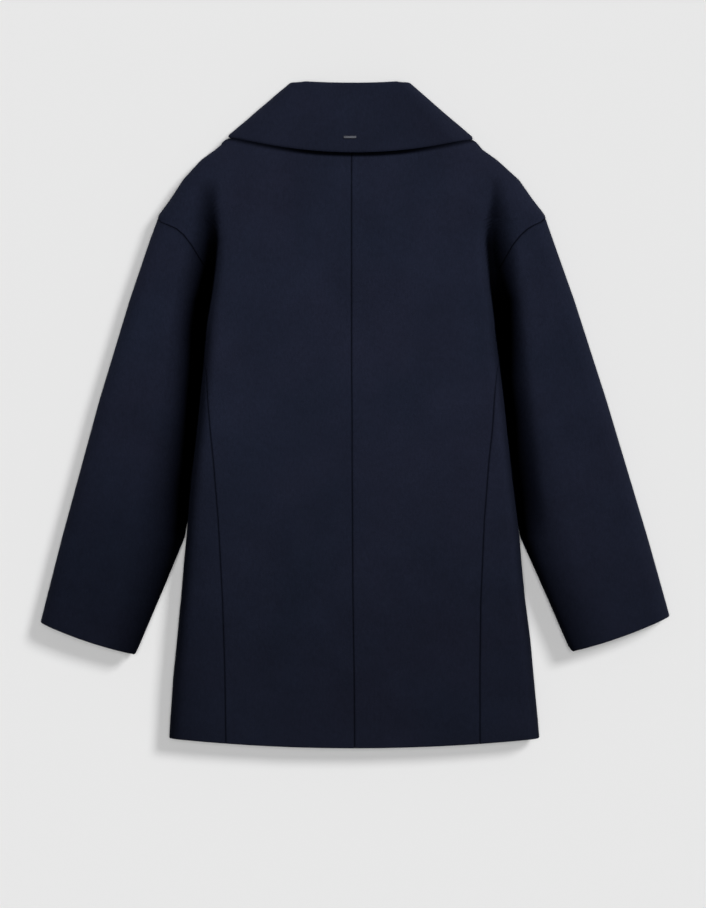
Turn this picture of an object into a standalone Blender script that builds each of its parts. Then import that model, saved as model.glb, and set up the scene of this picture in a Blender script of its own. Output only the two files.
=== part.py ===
"""A double-breasted pea coat laid on its front, so that its back faces up.

X runs across the coat (the wearer's right is +X), Y runs from hem to collar, Z is up.
The front panels rest on Z = 0. All lengths below are millimetres; MM turns them into metres.
"""
import bpy
import bmesh
import math
import numpy as np

MM = 0.001

# Cloth and gaps
CLOTH = 2.8          # melton body cloth
SLEEVE_CLOTH = 2.5   # sleeve cloth, pressed thinner
COLLAR_CLOTH = 4.0   # two plies of the collar and lapels
SEAM_GAP = 0.3       # between neighbouring pieces
HALF_GAP = SEAM_GAP / 2
ARMHOLE_GAP = (0.8, 0.6)  # out and down: the facets on either side of the curved seam differ

# Loft of the laid coat
MID_HEIGHT = 17.0    # height of the folds at the outline
SLEEVE_HEIGHT = 34.0
FOLD_DEPTH_Z = 8.0   # height of the fold between body and sleeve at its bottom
FRONT_LIFT = 4.3     # the fronts bridge over lapels and buttons by this much
UPPER_ROUND = 15.0   # how far the side folds round in, above
LOWER_ROUND = 40.0   # and below
FOLD_START_Y = 300.0  # the folds beside the sleeves start here
FOLD_FULL = 115.0    # and reach their full depth this much lower
LIFT_EDGE_X = 150.0  # the fronts' lift fades out here
LIFT_FADE_X = 40.0
LIFT_START_Y = 200.0  # above this the whole front is lifted by collar and lapels
LIFT_FADE_Y = 50.0
SIDE_WIDTH = 22.0    # how far the upper surface rounds in from the outline
SHOULDER_EXTRA = 10.0  # more on the slanting shoulder

# Heights up the coat, measured from its middle
NECK_Y = 403.7
TIP_Y = 255.0        # shoulder tip, where the armhole starts
CREVICE_Y = 192.0    # where the armhole dives into the fold
UNDERARM_Y = 95.0    # lowest point of the armhole, hidden in the fold
SIDE_SEAM_Y = 52.0   # below this the side-back seam lies on the back's flat
BREAK_Y = 120.0      # where the lapels start to turn
HEM_Y = -420.6
HEM_DROP = 12.5      # the hem is longer at the middle of the back
HEM_HALF = 240.0
HEM_BEND_Y = -330.0
NECK_DROP = 18.0     # the back neckline dips at the middle
NECK_HALF = 85.0
NECK_BEND = 70.0
SLEEVE_FREE_Y = -100.0   # where the sleeve's inner fold starts to swell from under the body
SLEEVE_FREE_SPAN = 95.0
SEAM_START = 12.0        # the sleeve's underarm seam starts this much below the armhole
PRESSED_HEIGHT = 3.6     # half the height of the inner fold where the body lies on it
SLEEVE_CLOSING = 15.0    # the sleeve closes round below the underarm over this much
CROWN_WIDTH = 38.0       # from the bottom of the fold up to the sleeve's flat top
CROWN_START = 2.0
WALL_REACH = 10.0        # the back's wall beside the sleeve ends this far out, above the armhole
WALL_BULGE = 1.4         # and leans out over the fold by this much
TUCK = 6.0           # how far each sleeve's inner edge lies under the body's side

# y, then the coat's outline on the wearer's left and right (shoulders, then sleeves)
OUTLINE = np.array([
    # y      left    right
    (403.7, -80.0, 68.0),
    (366.0, -148.0, 134.0),
    (359.5, -155.0, 137.0),
    (355.0, -168.0, 148.5),
    (350.0, -173.0, 160.0),
    (344.0, -181.0, 165.0),
    (330.9, -200.2, 184.6),
    (304.9, -223.6, 213.2),
    (278.9, -240.5, 231.4),
    (259.4, -254.8, 246.5),
    (226.9, -266.5, 257.4),
    (148.9, -292.5, 284.7),
    (18.9, -331.5, 326.3),
    (-163.2, -380.9, 380.9),
    (-330.0, -424.0, 428.0),
])

# y, then the edge of the body's back: beside the sleeves, then the side folds
BODY_EDGE = np.array([
    # y      left    right
    (403.7, -184.0, 170.0),
    (259.4, -179.4, 170.3),
    (226.9, -178.1, 169.7),
    (187.9, -181.4, 173.6),
    (163.2, -184.6, 175.5),
    (113.8, -193.1, 182.0),
    (63.1, -197.0, 187.9),
    (18.9, -201.5, 193.1),
    (-33.2, -206.7, 198.9),
    (-85.2, -213.2, 204.8),
    (-156.7, -219.0, 214.0),
    (-189.2, -221.7, 216.3),
    (-241.2, -225.6, 221.0),
    (-293.2, -230.8, 227.6),
    (-345.2, -236.0, 232.5),
    (-397.2, -239.9, 237.4),
    (-433.0, -241.8, 240.0),
])

# y, then the centre-back seam and the two side-back seams
BACK_SEAMS = np.array([
    # y      left   centre  right
    (403.7, -193.0, -4.7, 184.0),
    (52.0, -193.0, -4.6, 184.0),
    (18.9, -191.5, -4.2, 180.5),
    (-20.1, -188.0, -4.0, 177.8),
    (-59.2, -184.0, -4.0, 173.5),
    (-137.2, -177.5, -3.5, 167.4),
    (-241.2, -172.0, -2.9, 162.8),
    (-332.2, -169.0, -1.4, 161.7),
    (-433.0, -167.5, -0.5, 162.0),
])

# y, then the height of the back's surface
LOFT = np.array([
    # y      height
    (431.0, 28.0),
    (351.7, 31.0),
    (304.9, 34.0),
    (190.0, 38.0),
    (-150.0, 38.0),
    (-330.0, 36.0),
    (-433.0, 33.0),
])

# The armhole seam on the back, from the shoulder tip into the fold
ARMHOLE = np.array([
    # y      left    right
    (255.0, -256.0, 248.0),
    (248.0, -251.5, 240.5),
    (241.0, -236.6, 226.2),
    (230.8, -222.3, 215.0),
    (216.5, -211.9, 206.0),
    (200.9, -198.9, 194.0),
    (192.0, -195.0, 188.5),
])

# The inner edge of each sleeve once it is clear of the body
SLEEVE_INNER = np.array([
    # y      left    right
    (95.0, -188.6, 178.4),
    (18.9, -195.5, 187.1),
    (-33.2, -201.7, 193.9),
    (-85.2, -209.5, 201.0),
    (-130.0, -216.5, 210.0),
    (-160.0, -221.6, 215.2),
    (-230.0, -251.5, 246.8),
    (-312.0, -285.8, 282.1),
])

# Cuff corners
CUFF = {"left": ((-409.5, -270.0), (-286.0, -311.5)), "right": ((409.5, -262.0), (282.1, -307.5))}
CUFF_BOW = 4.0

# Front of the coat
OVERLAP = 70.0           # each front crosses the middle by this much
OVERLAP_STEP = CLOTH + 0.5  # the left front lies this much higher, over the right one
OVERLAP_RAMP = OVERLAP + 34.0  # where it starts to climb
FRONT_SEAM_X = 150.0     # side-front seams
ROLL_TOP = (85.0, 403.7)  # where the roll line meets the neck
LAPEL_ROLL_TOP = (62.0, 360.0)
LAPEL_TIP = (138.0, 316.0)
LEFT_LAPEL_LOW = ((-24.0, 208.5), (-1.5, 245.5))  # it comes out from behind the right one's roll line
LAPEL_BEVEL = 0.8
LAPEL_GAP = 0.4          # between a lapel and its front
BUTTON_RADIUS = 13.5
BUTTON_THICKNESS = 3.7
BUTTON_PROFILE = ((0.0, 0.8), (0.62, 0.8), (0.74, 0.0), (0.94, 0.0), (1.0, 0.7), (1.0, 2.6),
                  (0.86, BUTTON_THICKNESS), (0.0, BUTTON_THICKNESS))  # share of the radius, height
BUTTON_X = 48.0
BUTTON_ROWS = (95.0, -5.0, -105.0)

# Collar: (across, up) of its roll and of its lower edge, seen from above
ROLL_RADIUS = 6.0
ROLL_HALF = {"left": 85.7, "right": 72.7}
ROLL_Y = (425.0, 430.0, 366.0)       # middle of the back, side, gorge
ROLL_TOP_Z = 33.0
EDGE_HALF = {"left": 165.5, "right": 154.0}
EDGE_Y = {"left": (338.7, 361.5, 338.0), "right": (338.7, 359.0, 338.0)}
EDGE_TOP_Z = 36.2
COLLAR_POINT_X = 118.0
GORGE_X = 62.0
STAND_CLOTH = 2.6
STAND_END = 0.9
STAND_GAP = 2.5        # the facets of the curved neck seam differ
STAND_CLEAR = 0.4      # between the stand and the fall
STAND_FOOT_Z = 28.0
STAND_DEPTH = 8.0      # how far the stand reaches down in front
STAND_TURN = 0.2       # the share of the oval over which its foot turns to the front
OVAL_FLAT = 0.8        # the share of a half oval that is straight
COLLAR_TURNS = (0.0, 30.0, 60.0)  # degrees round the roll
COLLAR_ROWS = (0.0, 0.25, 0.5, 0.75, 1.0)
STAND_ROWS = (1.0, 0.66, 0.33, 0.0)
COLLAR_STEPS = (0.0, 0.12, 0.24, 0.36, 0.41, 0.45, 0.5, 0.55, 0.6, 0.68, 0.84, 1.0)
BAR_LENGTH = 17.0
BAR_WIDTH = 3.6
BAR_THICKNESS = 1.2
BAR_PLACE = (-6.5, 361.0)
BAR_FOOT_Z = EDGE_TOP_Z - 0.28  # just clear of the sloping collar
BAR_BEVEL = 0.25

# Panel meshes
BACK_COLUMNS = 12
BACK_CROWD = 1.5     # the back's columns lie closer together at its outer seam
SIDE_COLUMNS = 10
FRONT_COLUMNS = 16
SLEEVE_ROWS = 21
SLEEVE_COLUMNS = 12  # as many as ARMHOLE_STOPS
ARMHOLE_SHARE = 0.05  # the share of the sleeve over which the armhole's gap fades out
SLEEVE_START = 0.0012
SHOULDER_STOPS = (394.0, 380, 366, 359.5, 355, 350, 344, 328, 305, 288, 270)
ARMHOLE_STOPS = (255.2, 250, 243, 234, 224, 212, 202, 192.5, 178, 160, 130, 95.2)  # shared seam points
LOWER_HEIGHTS = (25, -20, -85, -160, -240, -330, -375, HEM_Y)
SIDE_HEIGHTS = (UNDERARM_Y - 0.4, 88, 80, 73, 66, 59, SIDE_SEAM_Y, *LOWER_HEIGHTS)
BACK_HEIGHTS = (NECK_Y, *SHOULDER_STOPS, *ARMHOLE_STOPS, *SIDE_HEIGHTS)
FRONT_HEIGHTS = (*SHOULDER_STOPS, *ARMHOLE_STOPS, UNDERARM_Y - 0.1, *LOWER_HEIGHTS)
PROBE = 0.4          # step over which a surface's slope is measured
NORMAL_REACH = 1.2   # and half the length over which a section's direction is measured
SECTION_STEPS = 24   # points on a section before it is shared out into columns


def clear_scene():
    for old in list(bpy.data.objects):
        bpy.data.objects.remove(old, do_unlink=True)


def table(rows, y, column):
    """The value of a table's column at height y; the tables run from neck to hem."""
    return float(np.interp(-y, -rows[:, 0], rows[:, column]))


def smooth(value):
    value = min(max(value, 0.0), 1.0)
    return value * value * (3.0 - 2.0 * value)


def column_of(side):
    return 1 if side == "left" else 2


def sign_of(side):
    return -1.0 if side == "left" else 1.0


def outline_x(side, y):
    return table(OUTLINE, y, column_of(side))


def edge_x(side, y):
    return table(BODY_EDGE, y, column_of(side))


def fold_depth(y):
    """0 above the shoulder blade, 1 where the fold beside the sleeve is fully deep."""
    return smooth((FOLD_START_Y - y) / FOLD_FULL)


def lift(x, y):
    """Height of the fronts' lower face: they bridge over lapels, collar and buttons."""
    across = smooth((LIFT_EDGE_X - abs(x)) / LIFT_FADE_X)
    up = smooth((y - LIFT_START_Y) / LIFT_FADE_Y)
    return FRONT_LIFT * max(across, up)


def round_width(y):
    """How far the surface rounds in from the outline: wider on the slanting shoulder."""
    return SIDE_WIDTH + SHOULDER_EXTRA * smooth((y - TIP_Y) / 55.0)


def arc(value):
    value = min(max(value, 0.0), 1.0)
    return math.sqrt(1.0 - (1.0 - value) ** 2)


def sleeve_inner_x(side, y):
    return table(SLEEVE_INNER, y, column_of(side))


def sleeve_edge_height(y):
    """Height of the sleeve's inner fold: pressed thin under the body, round once it is clear."""
    opening = smooth((SLEEVE_FREE_Y - y) / SLEEVE_FREE_SPAN)
    return PRESSED_HEIGHT + (MID_HEIGHT - PRESSED_HEIGHT) * opening


def upper_height(side, x, y):
    """The upper surface outboard of the body's edge: fold bottom, sleeve crown, rounded outline."""
    outboard = abs(x) - abs(edge_x(side, y))
    depth = fold_depth(y)
    loft = table(LOFT, y, 1)
    crown = (1.0 - depth) * loft + depth * SLEEVE_HEIGHT
    floor = (1.0 - depth) * loft + depth * FOLD_DEPTH_Z
    rise = smooth((outboard - CROWN_START) / CROWN_WIDTH)
    if y < UNDERARM_Y:
        closing = smooth((UNDERARM_Y - y) / SLEEVE_CLOSING)
        half = sleeve_edge_height(y)
        rounding = arc((abs(x) - abs(sleeve_inner_x(side, y))) / half)
        floor += closing * (half + half * rounding - floor)
        rise *= 1.0 + closing * (rounding - 1.0)
    height = floor + (crown - floor) * rise
    inboard = abs(outline_x(side, y)) - abs(x)
    if height > MID_HEIGHT:
        height = MID_HEIGHT + (height - MID_HEIGHT) * arc(inboard / round_width(y))
    return height


def lower_height(side, x, y):
    """The lower surface: on the floor, rounded up at the outline and at a sleeve's inner fold."""
    inboard = abs(outline_x(side, y)) - abs(x)
    low = lift(x, y)
    height = low + (MID_HEIGHT - low) * (1.0 - arc(inboard / round_width(y)))
    if y < UNDERARM_Y:
        closing = smooth((UNDERARM_Y - y) / SLEEVE_CLOSING)
        half = sleeve_edge_height(y)
        inward = abs(x) - abs(sleeve_inner_x(side, y))
        height += closing * half * (1.0 - arc(inward / half))
    return height


def wall_curve(side, y):
    """The back's edge from its flat top, over and down beside the sleeve, as (x outboard, z)."""
    edge = abs(edge_x(side, y))
    top = table(LOFT, y, 1)
    depth = fold_depth(y)
    bottom = (1.0 - depth) * top + depth * FOLD_DEPTH_Z
    end = edge + WALL_REACH if y > CREVICE_Y else abs(armhole_x(side, y))
    start = np.array([edge - UPPER_ROUND, top])
    bulge = edge + WALL_BULGE * smooth(depth)
    first = np.array([bulge, top])
    second = np.array([bulge + WALL_BULGE * (1.0 - depth), bottom])
    last = np.array([end, bottom])
    points = []
    for step in range(SECTION_STEPS + 1):
        t = step / SECTION_STEPS
        points.append((1 - t) ** 3 * start + 3 * t * (1 - t) ** 2 * first
                      + 3 * t * t * (1 - t) * second + t ** 3 * last)
    return points


def back_section(side, y):
    """The back's section from the centre seam to its outer seam, as (x, z) points going outboard."""
    sign = sign_of(side)
    centre = sign * table(BACK_SEAMS, y, 2)
    top = table(LOFT, y, 1)
    edge = abs(edge_x(side, y))
    outline = abs(outline_x(side, y))
    points = []
    if y > FOLD_START_Y:
        # above the fold the section runs straight over to the shoulder seam
        width = round_width(y)
        for x in np.linspace(centre, outline - width, SECTION_STEPS):
            points.append((x, top))
        for angle in np.linspace(0.0, math.pi / 2, SECTION_STEPS):
            points.append((outline - width + width * math.sin(angle),
                           MID_HEIGHT + (top - MID_HEIGHT) * math.cos(angle)))
        return np.array(points), 0.0, None
    for x in np.linspace(centre, edge - UPPER_ROUND, SECTION_STEPS)[:-1]:
        points.append((x, top))
    if y > CREVICE_Y:
        points.extend(wall_curve(side, y))
        start = points[-1][0]
        if y > TIP_Y:
            limit = outline
            width = round_width(y)
            for x in np.linspace(start + 1.0, limit - width, SECTION_STEPS):
                points.append((x, upper_height(side, sign * x, y)))
            crown = points[-1][1]
            for angle in np.linspace(0.1, math.pi / 2, SECTION_STEPS):
                points.append((limit - width + width * math.sin(angle),
                               MID_HEIGHT + (crown - MID_HEIGHT) * math.cos(angle)))
            return np.array(points), 0.0, None
        limit = abs(table(ARMHOLE, y, column_of(side)))
        for x in np.linspace(start + 0.5, max(limit, start + 1.0), SECTION_STEPS):
            points.append((x, upper_height(side, sign * x, y)))
        return np.array(points), 0.0, None
    if y > UNDERARM_Y:
        points.extend(wall_curve(side, y))
        return np.array(points), 0.0, None
    ring = body_ring(side, y)
    return ring, 0.0, side_back_place(side, y, ring)


def body_ring(side, y):
    """Half of the body's closed section: centre back, side fold, centre front, as (x, z)."""
    sign = sign_of(side)
    edge = abs(edge_x(side, y))
    top = table(LOFT, y, 1)
    centre = sign * table(BACK_SEAMS, y, 2)
    points = [(x, top) for x in np.linspace(centre, edge - UPPER_ROUND, SECTION_STEPS)[:-1]]
    for angle in np.linspace(0.0, math.pi / 2, SECTION_STEPS)[:-1]:
        points.append((edge - UPPER_ROUND + UPPER_ROUND * math.sin(angle),
                       MID_HEIGHT + (top - MID_HEIGHT) * math.cos(angle)))
    for angle in np.linspace(0.0, math.pi / 2, SECTION_STEPS)[:-1]:
        x = edge - LOWER_ROUND + LOWER_ROUND * math.cos(angle)
        low = lift(x, y)
        points.append((x, low + (MID_HEIGHT - low) * (1.0 - math.sin(angle))))
    for x in np.linspace(edge - LOWER_ROUND, 0.0, SECTION_STEPS):
        points.append((x, lift(x, y)))
    return np.array(points)


def lengths(section):
    steps = np.hypot(*np.diff(section, axis=0).T)
    return np.concatenate([[0.0], np.cumsum(steps)])


def distance_at(section, x, upper):
    """Distance along a section to where it crosses x, on its upper or its lower half."""
    along = lengths(section)
    far = int(np.argmax(section[:, 0]))
    if upper:
        return float(np.interp(x, section[:far + 1, 0], along[:far + 1]))
    return float(np.interp(-x, -section[far:, 0], along[far:]))


def side_back_place(side, y, ring):
    """Distance along the body's half ring to the side-back seam, which climbs out of the fold."""
    seam = distance_at(ring, abs(table(BACK_SEAMS, y, 1 if side == "left" else 3)), True)
    deep = distance_at(ring, abs(edge_x(side, y)) - TUCK, False)
    return seam + (deep - seam) * smooth((y - SIDE_SEAM_Y) / (UNDERARM_Y - SIDE_SEAM_Y))


def side_section(side, y):
    ring = body_ring(side, y)
    return ring, side_back_place(side, y, ring), distance_at(ring, FRONT_SEAM_X, False)


def armhole_x(side, y):
    """Where the armhole seam crosses height y, seen from above."""
    if y > CREVICE_Y:
        return table(ARMHOLE, y, column_of(side))
    near = table(ARMHOLE, CREVICE_Y, column_of(side))
    deep = edge_x(side, UNDERARM_Y) - sign_of(side) * TUCK
    return near + (deep - near) * (CREVICE_Y - y) / (CREVICE_Y - UNDERARM_Y)


def front_inner_x(y):
    """The front's free edge, measured outboard from the middle: overlap, then roll line."""
    rise = (y - BREAK_Y) / (ROLL_TOP[1] - BREAK_Y)
    return -OVERLAP + (OVERLAP + ROLL_TOP[0]) * min(max(rise, 0.0), 1.0)


def front_section(side, y):
    """The front's section from its outer seam to its free edge, facing down."""
    inner = front_inner_x(y)
    if y > TIP_Y:
        outer = abs(outline_x(side, y))
    elif y > UNDERARM_Y:
        outer = abs(armhole_x(side, y))
    else:
        outer = FRONT_SEAM_X
    points = []
    for t in np.linspace(0.0, 1.0, 3 * SECTION_STEPS):
        x = outer - (outer - inner) * (1.0 - math.cos(t * math.pi / 2))
        height = lower_height(side, x, y) if y > UNDERARM_Y else lift(x, y)
        if side == "left":
            height += OVERLAP_STEP * smooth((OVERLAP_RAMP - x) / 18.0) * smooth((FOLD_START_Y - y) / 40.0)
        points.append((x, height))
    return np.array(points), 0.0, None


def share_out(section, start, end, columns, crowd):
    """Points and outward normals at columns along part of a section, closer together near its end."""
    along = lengths(section)
    end = along[-1] if end is None else end
    places = start + (end - start) * (1.0 - (1.0 - np.linspace(0.0, 1.0, columns)) ** crowd)
    places = np.clip(places, start + HALF_GAP, end - HALF_GAP)

    def at(distance):
        return np.array([np.interp(distance, along, section[:, k]) for k in (0, 1)])

    points, normals = [], []
    for place in places:
        ahead = at(min(place + NORMAL_REACH, along[-1])) - at(max(place - NORMAL_REACH, 0.0))
        ahead /= np.hypot(*ahead)
        points.append(at(place))
        at_fold = min(place, along[-1] - place) < 1.0 and abs(points[-1][1] - MID_HEIGHT) < 0.5
        normals.append([1.0, 0.0] if at_fold else [-ahead[1], ahead[0]])
    return np.array(points), np.array(normals)


def wall_mesh(name, outer, inner, material, flip):
    """A closed wall between two grids of points, both indexed [row][column]."""
    rows, columns = outer.shape[:2]
    points = np.concatenate([outer.reshape(-1, 3), inner.reshape(-1, 3)]) * MM
    shift = rows * columns
    faces = []
    for i in range(rows - 1):
        for j in range(columns - 1):
            a, d = i * columns + j, (i + 1) * columns + j
            b, c = a + 1, d + 1
            faces.append((a, b, c, d))
            faces.append((shift + d, shift + c, shift + b, shift + a))
    border = [(0, j) for j in range(columns - 1)] + [(i, columns - 1) for i in range(rows - 1)]
    border += [(rows - 1, j) for j in range(columns - 1, 0, -1)] + [(i, 0) for i in range(rows - 1, 0, -1)]
    ring = [i * columns + j for i, j in border]
    for a, b in zip(ring, ring[1:] + ring[:1]):
        # both walls at a seam split their twisted end faces along the same diagonal
        if a < b:
            faces += [(b, a, shift + b), (a, shift + a, shift + b)]
        else:
            faces += [(b, a, shift + a), (b, shift + a, shift + b)]
    if flip:
        faces = [face[::-1] for face in faces]
    mesh = bpy.data.meshes.new(name)
    mesh.from_pydata(points.tolist(), [], faces)
    mesh.update()
    mesh.shade_smooth()
    mesh.set_sharp_from_angle(angle=math.radians(40))
    piece = bpy.data.objects.new(name, mesh)
    bpy.context.collection.objects.link(piece)
    mesh.materials.append(material)
    return piece


def make_material(name, colour, roughness, metallic):
    material = bpy.data.materials.new(name)
    material.use_nodes = True
    surface = material.node_tree.nodes["Principled BSDF"]
    surface.inputs["Base Color"].default_value = (*colour, 1.0)
    surface.inputs["Roughness"].default_value = roughness
    surface.inputs["Metallic"].default_value = metallic
    return material


def panel(name, side, heights, section_at, columns, crowd, bend, material):
    """A body panel: sections at the given heights, joined into a wall."""
    sign = sign_of(side)
    outer, inner = [], []
    for y in heights:
        section, start, end = section_at(side, y)
        points, normals = share_out(section, start, end, columns, crowd)
        within = points - CLOTH * normals
        outer.append([(sign * x, bend(x, y), z) for x, z in points])
        inner.append([(sign * q[0], bend(p[0], y), q[1]) for p, q in zip(points, within)])
    return wall_mesh(name, np.array(outer), np.array(inner), material, side == "right")


def hem_bend(x, y):
    """Rows near the hem bend with its drop."""
    reach = smooth((HEM_BEND_Y - y) / (HEM_BEND_Y - HEM_Y))
    return y - HEM_DROP * reach * max(0.0, 1.0 - (x / HEM_HALF) ** 2)


def neck_dip(x):
    return NECK_DROP * max(0.0, 1.0 - (x / NECK_HALF) ** 2)


def hem_and_neck_bend(x, y):
    """Rows of the back also bend with the dip of its neckline."""
    return hem_bend(x, y) - max(0.0, 1.0 - (NECK_Y - y) / NECK_BEND) * neck_dip(x)


def armhole_path(side):
    """The armhole seam seen from above, from the shoulder tip to the underarm."""
    points = [(outline_x(side, TIP_Y), TIP_Y)]
    points += [(armhole_x(side, y), y) for y in ARMHOLE_STOPS[1:]]
    return np.array(points)


def across_share(column):
    """Columns across a sleeve lie closer together at its two folds."""
    return 0.5 - 0.5 * math.cos(math.pi * column / (SLEEVE_COLUMNS - 1))


def along_path(path, share):
    steps = np.concatenate([[0.0], np.cumsum(np.hypot(*np.diff(path, axis=0).T))])
    place = share * steps[-1]
    return np.array([np.interp(place, steps, path[:, k]) for k in (0, 1)])


def sleeve_plan(side):
    """The sleeve's four edges seen from above, blended into one patch: u across, v down."""
    top = armhole_path(side)
    outer_corner, inner_corner = (np.array(corner) for corner in CUFF[side])
    outer = np.array([(outline_x(side, y), y) for y in np.linspace(TIP_Y, outer_corner[1], 40)])
    outer[-1] = outer_corner
    inner = np.array([(sleeve_inner_x(side, y), y) for y in np.linspace(UNDERARM_Y, inner_corner[1], 40)])
    inner[0] = top[-1]
    inner[-1] = inner_corner

    stops = [across_share(column) for column in range(SLEEVE_COLUMNS)]
    spans = np.concatenate([[0.0], np.cumsum(np.hypot(*np.diff(top, axis=0).T))])
    spans /= spans[-1]

    def place(u, v):
        cuff = outer_corner + u * (inner_corner - outer_corner)
        cuff[1] -= CUFF_BOW * 4.0 * u * (1.0 - u)
        corners = ((1 - u) * (1 - v) * top[0] + u * (1 - v) * top[-1]
                   + (1 - u) * v * outer_corner + u * v * inner_corner)
        point = ((1 - v) * along_path(top, float(np.interp(u, stops, spans))) + v * cuff
                 + (1 - u) * along_path(outer, v) + u * along_path(inner, v) - corners)
        clear = max(0.0, 1.0 - v / ARMHOLE_SHARE)
        point[0] += sign_of(side) * ARMHOLE_GAP[0] * clear
        point[1] -= ARMHOLE_GAP[1] * clear
        return point
    return place


def slope_normal(height_of, side, x, y):
    """The upward unit normal of a height function."""
    across = height_of(side, x + PROBE, y) - height_of(side, x - PROBE, y)
    up = height_of(side, x, y + PROBE) - height_of(side, x, y - PROBE)
    normal = np.array([-across / (2 * PROBE), -up / (2 * PROBE), 1.0])
    return normal / np.linalg.norm(normal)


def sleeve_panel(name, side, upper, material):
    plan = sleeve_plan(side)
    height_of = upper_height if upper else lower_height
    facing = 1.0 if upper else -1.0

    def point(u, v):
        x, y = plan(u, v)
        inside = abs(outline_x(side, y)) - abs(x)
        if inside < 0.0:
            x = outline_x(side, y)
        return np.array([x, y, height_of(side, x, y)])

    outer, inner = [], []
    for v in np.linspace(SLEEVE_START, 1.0, SLEEVE_ROWS):
        outer_row, inner_row = [], []
        for column in range(SLEEVE_COLUMNS):
            u = across_share(column)
            here = point(u, v)
            normal = facing * slope_normal(height_of, side, here[0], here[1])
            if u == 0.0:
                normal = np.array([sign_of(side), 0.0, 0.0])
                here[2] += HALF_GAP * facing
            if u == 1.0 and here[1] < UNDERARM_Y - SEAM_START:
                normal = np.array([-sign_of(side), 0.0, 0.0])
                here[2] += HALF_GAP * facing
            outer_row.append(here)
            inner_row.append(here - SLEEVE_CLOTH * normal)
        outer.append(outer_row)
        inner.append(inner_row)
    return wall_mesh(name, np.array(outer), np.array(inner), material, upper == (side == "left"))


def oval_point(half_width, end_x, top, bottom, share):
    """(across, z) on a flattened oval: share 0 at the middle of the back, 0.5 at the side, 1 in front."""
    flat = OVAL_FLAT * half_width
    if share < 0.4:
        return flat * share / 0.4, top
    if share > 0.6:
        return flat + (end_x - flat) * (share - 0.6) / 0.4, bottom
    angle = (share - 0.4) / 0.2 * math.pi
    middle, half = (top + bottom) / 2, (top - bottom) / 2
    return flat + (half_width - flat) * math.sin(angle), middle + half * math.cos(angle)


def along_three(values, share, across, half_width):
    """Height up the coat around an oval: back middle, side, front end."""
    middle, at_side, end = values
    if share <= 0.5:
        return middle + (at_side - middle) * (across / half_width) ** 2
    return at_side + (end - at_side) * smooth((share - 0.5) / 0.5)


def roll_point(side, share):
    across, z = oval_point(ROLL_HALF[side], GORGE_X, ROLL_TOP_Z, 0.0, share)
    return np.array([sign_of(side) * across, along_three(ROLL_Y, share, across, ROLL_HALF[side]), z])


def collar_edge_point(side, share):
    across, z = oval_point(EDGE_HALF[side], COLLAR_POINT_X, EDGE_TOP_Z, 0.0, share)
    return np.array([sign_of(side) * across, along_three(EDGE_Y[side], share, across, EDGE_HALF[side]), z])


def collar_point(side, share, down):
    return roll_point(side, share) * (1.0 - down) + collar_edge_point(side, share) * down


def collar_normal(side, share, down):
    ahead = collar_point(side, min(share + 0.01, 1.0), down)
    around = ahead - collar_point(side, max(share - 0.01, 0.0), down)
    fall = collar_edge_point(side, share) - roll_point(side, share)
    normal = np.cross(fall, around) * sign_of(side)
    return normal / np.linalg.norm(normal)


def both_ways(steps):
    """Columns from the left collar point round the back to the right one."""
    return [("left", share) for share in steps[::-1]] + [("right", share) for share in steps[1:]]


def collar_fall(material):
    outer, inner = [], []
    for turn in COLLAR_TURNS:
        outer_row, inner_row = [], []
        for side, share in both_ways(COLLAR_STEPS):
            start = roll_point(side, share)
            normal = collar_normal(side, share, 0.0)
            away = start - collar_edge_point(side, share)
            away /= np.linalg.norm(away)
            centre = start - ROLL_RADIUS * normal
            spoke = normal * math.sin(math.radians(turn)) + away * math.cos(math.radians(turn))
            outer_row.append(centre + ROLL_RADIUS * spoke)
            inner_row.append(centre + (ROLL_RADIUS - COLLAR_CLOTH) * spoke)
        outer.append(outer_row)
        inner.append(inner_row)
    for down in COLLAR_ROWS:
        outer.append([collar_point(side, share, down) for side, share in both_ways(COLLAR_STEPS)])
        inner.append([collar_point(side, share, down) - COLLAR_CLOTH * collar_normal(side, share, down)
                      for side, share in both_ways(COLLAR_STEPS)])
    return wall_mesh("collar_fall", np.array(outer), np.array(inner), material, True)


def collar_stand(material):
    steps = [share for share in COLLAR_STEPS if share <= STAND_END]
    outer, inner = [], []
    for rise in STAND_ROWS:
        outer_row, inner_row = [], []
        for side, share in both_ways(steps):
            normal = collar_normal(side, share, 0.0)
            high = roll_point(side, share) - (COLLAR_CLOTH + STAND_CLEAR) * normal
            across, z = oval_point(abs(outline_x(side, NECK_Y)), GORGE_X - 1.0, STAND_FOOT_Z,
                                   FRONT_LIFT + SEAM_GAP, share)
            level = NECK_Y - neck_dip(across) + STAND_GAP
            level += (high[1] - STAND_DEPTH - level) * smooth((share - 0.5) / STAND_TURN)
            low = np.array([sign_of(side) * across, level, z])
            point = low + (high - low) * rise
            outer_row.append(point)
            inner_row.append(point - STAND_CLOTH * normal)
        outer.append(outer_row)
        inner.append(inner_row)
    return wall_mesh("collar_stand", np.array(outer), np.array(inner), material, True)


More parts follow.
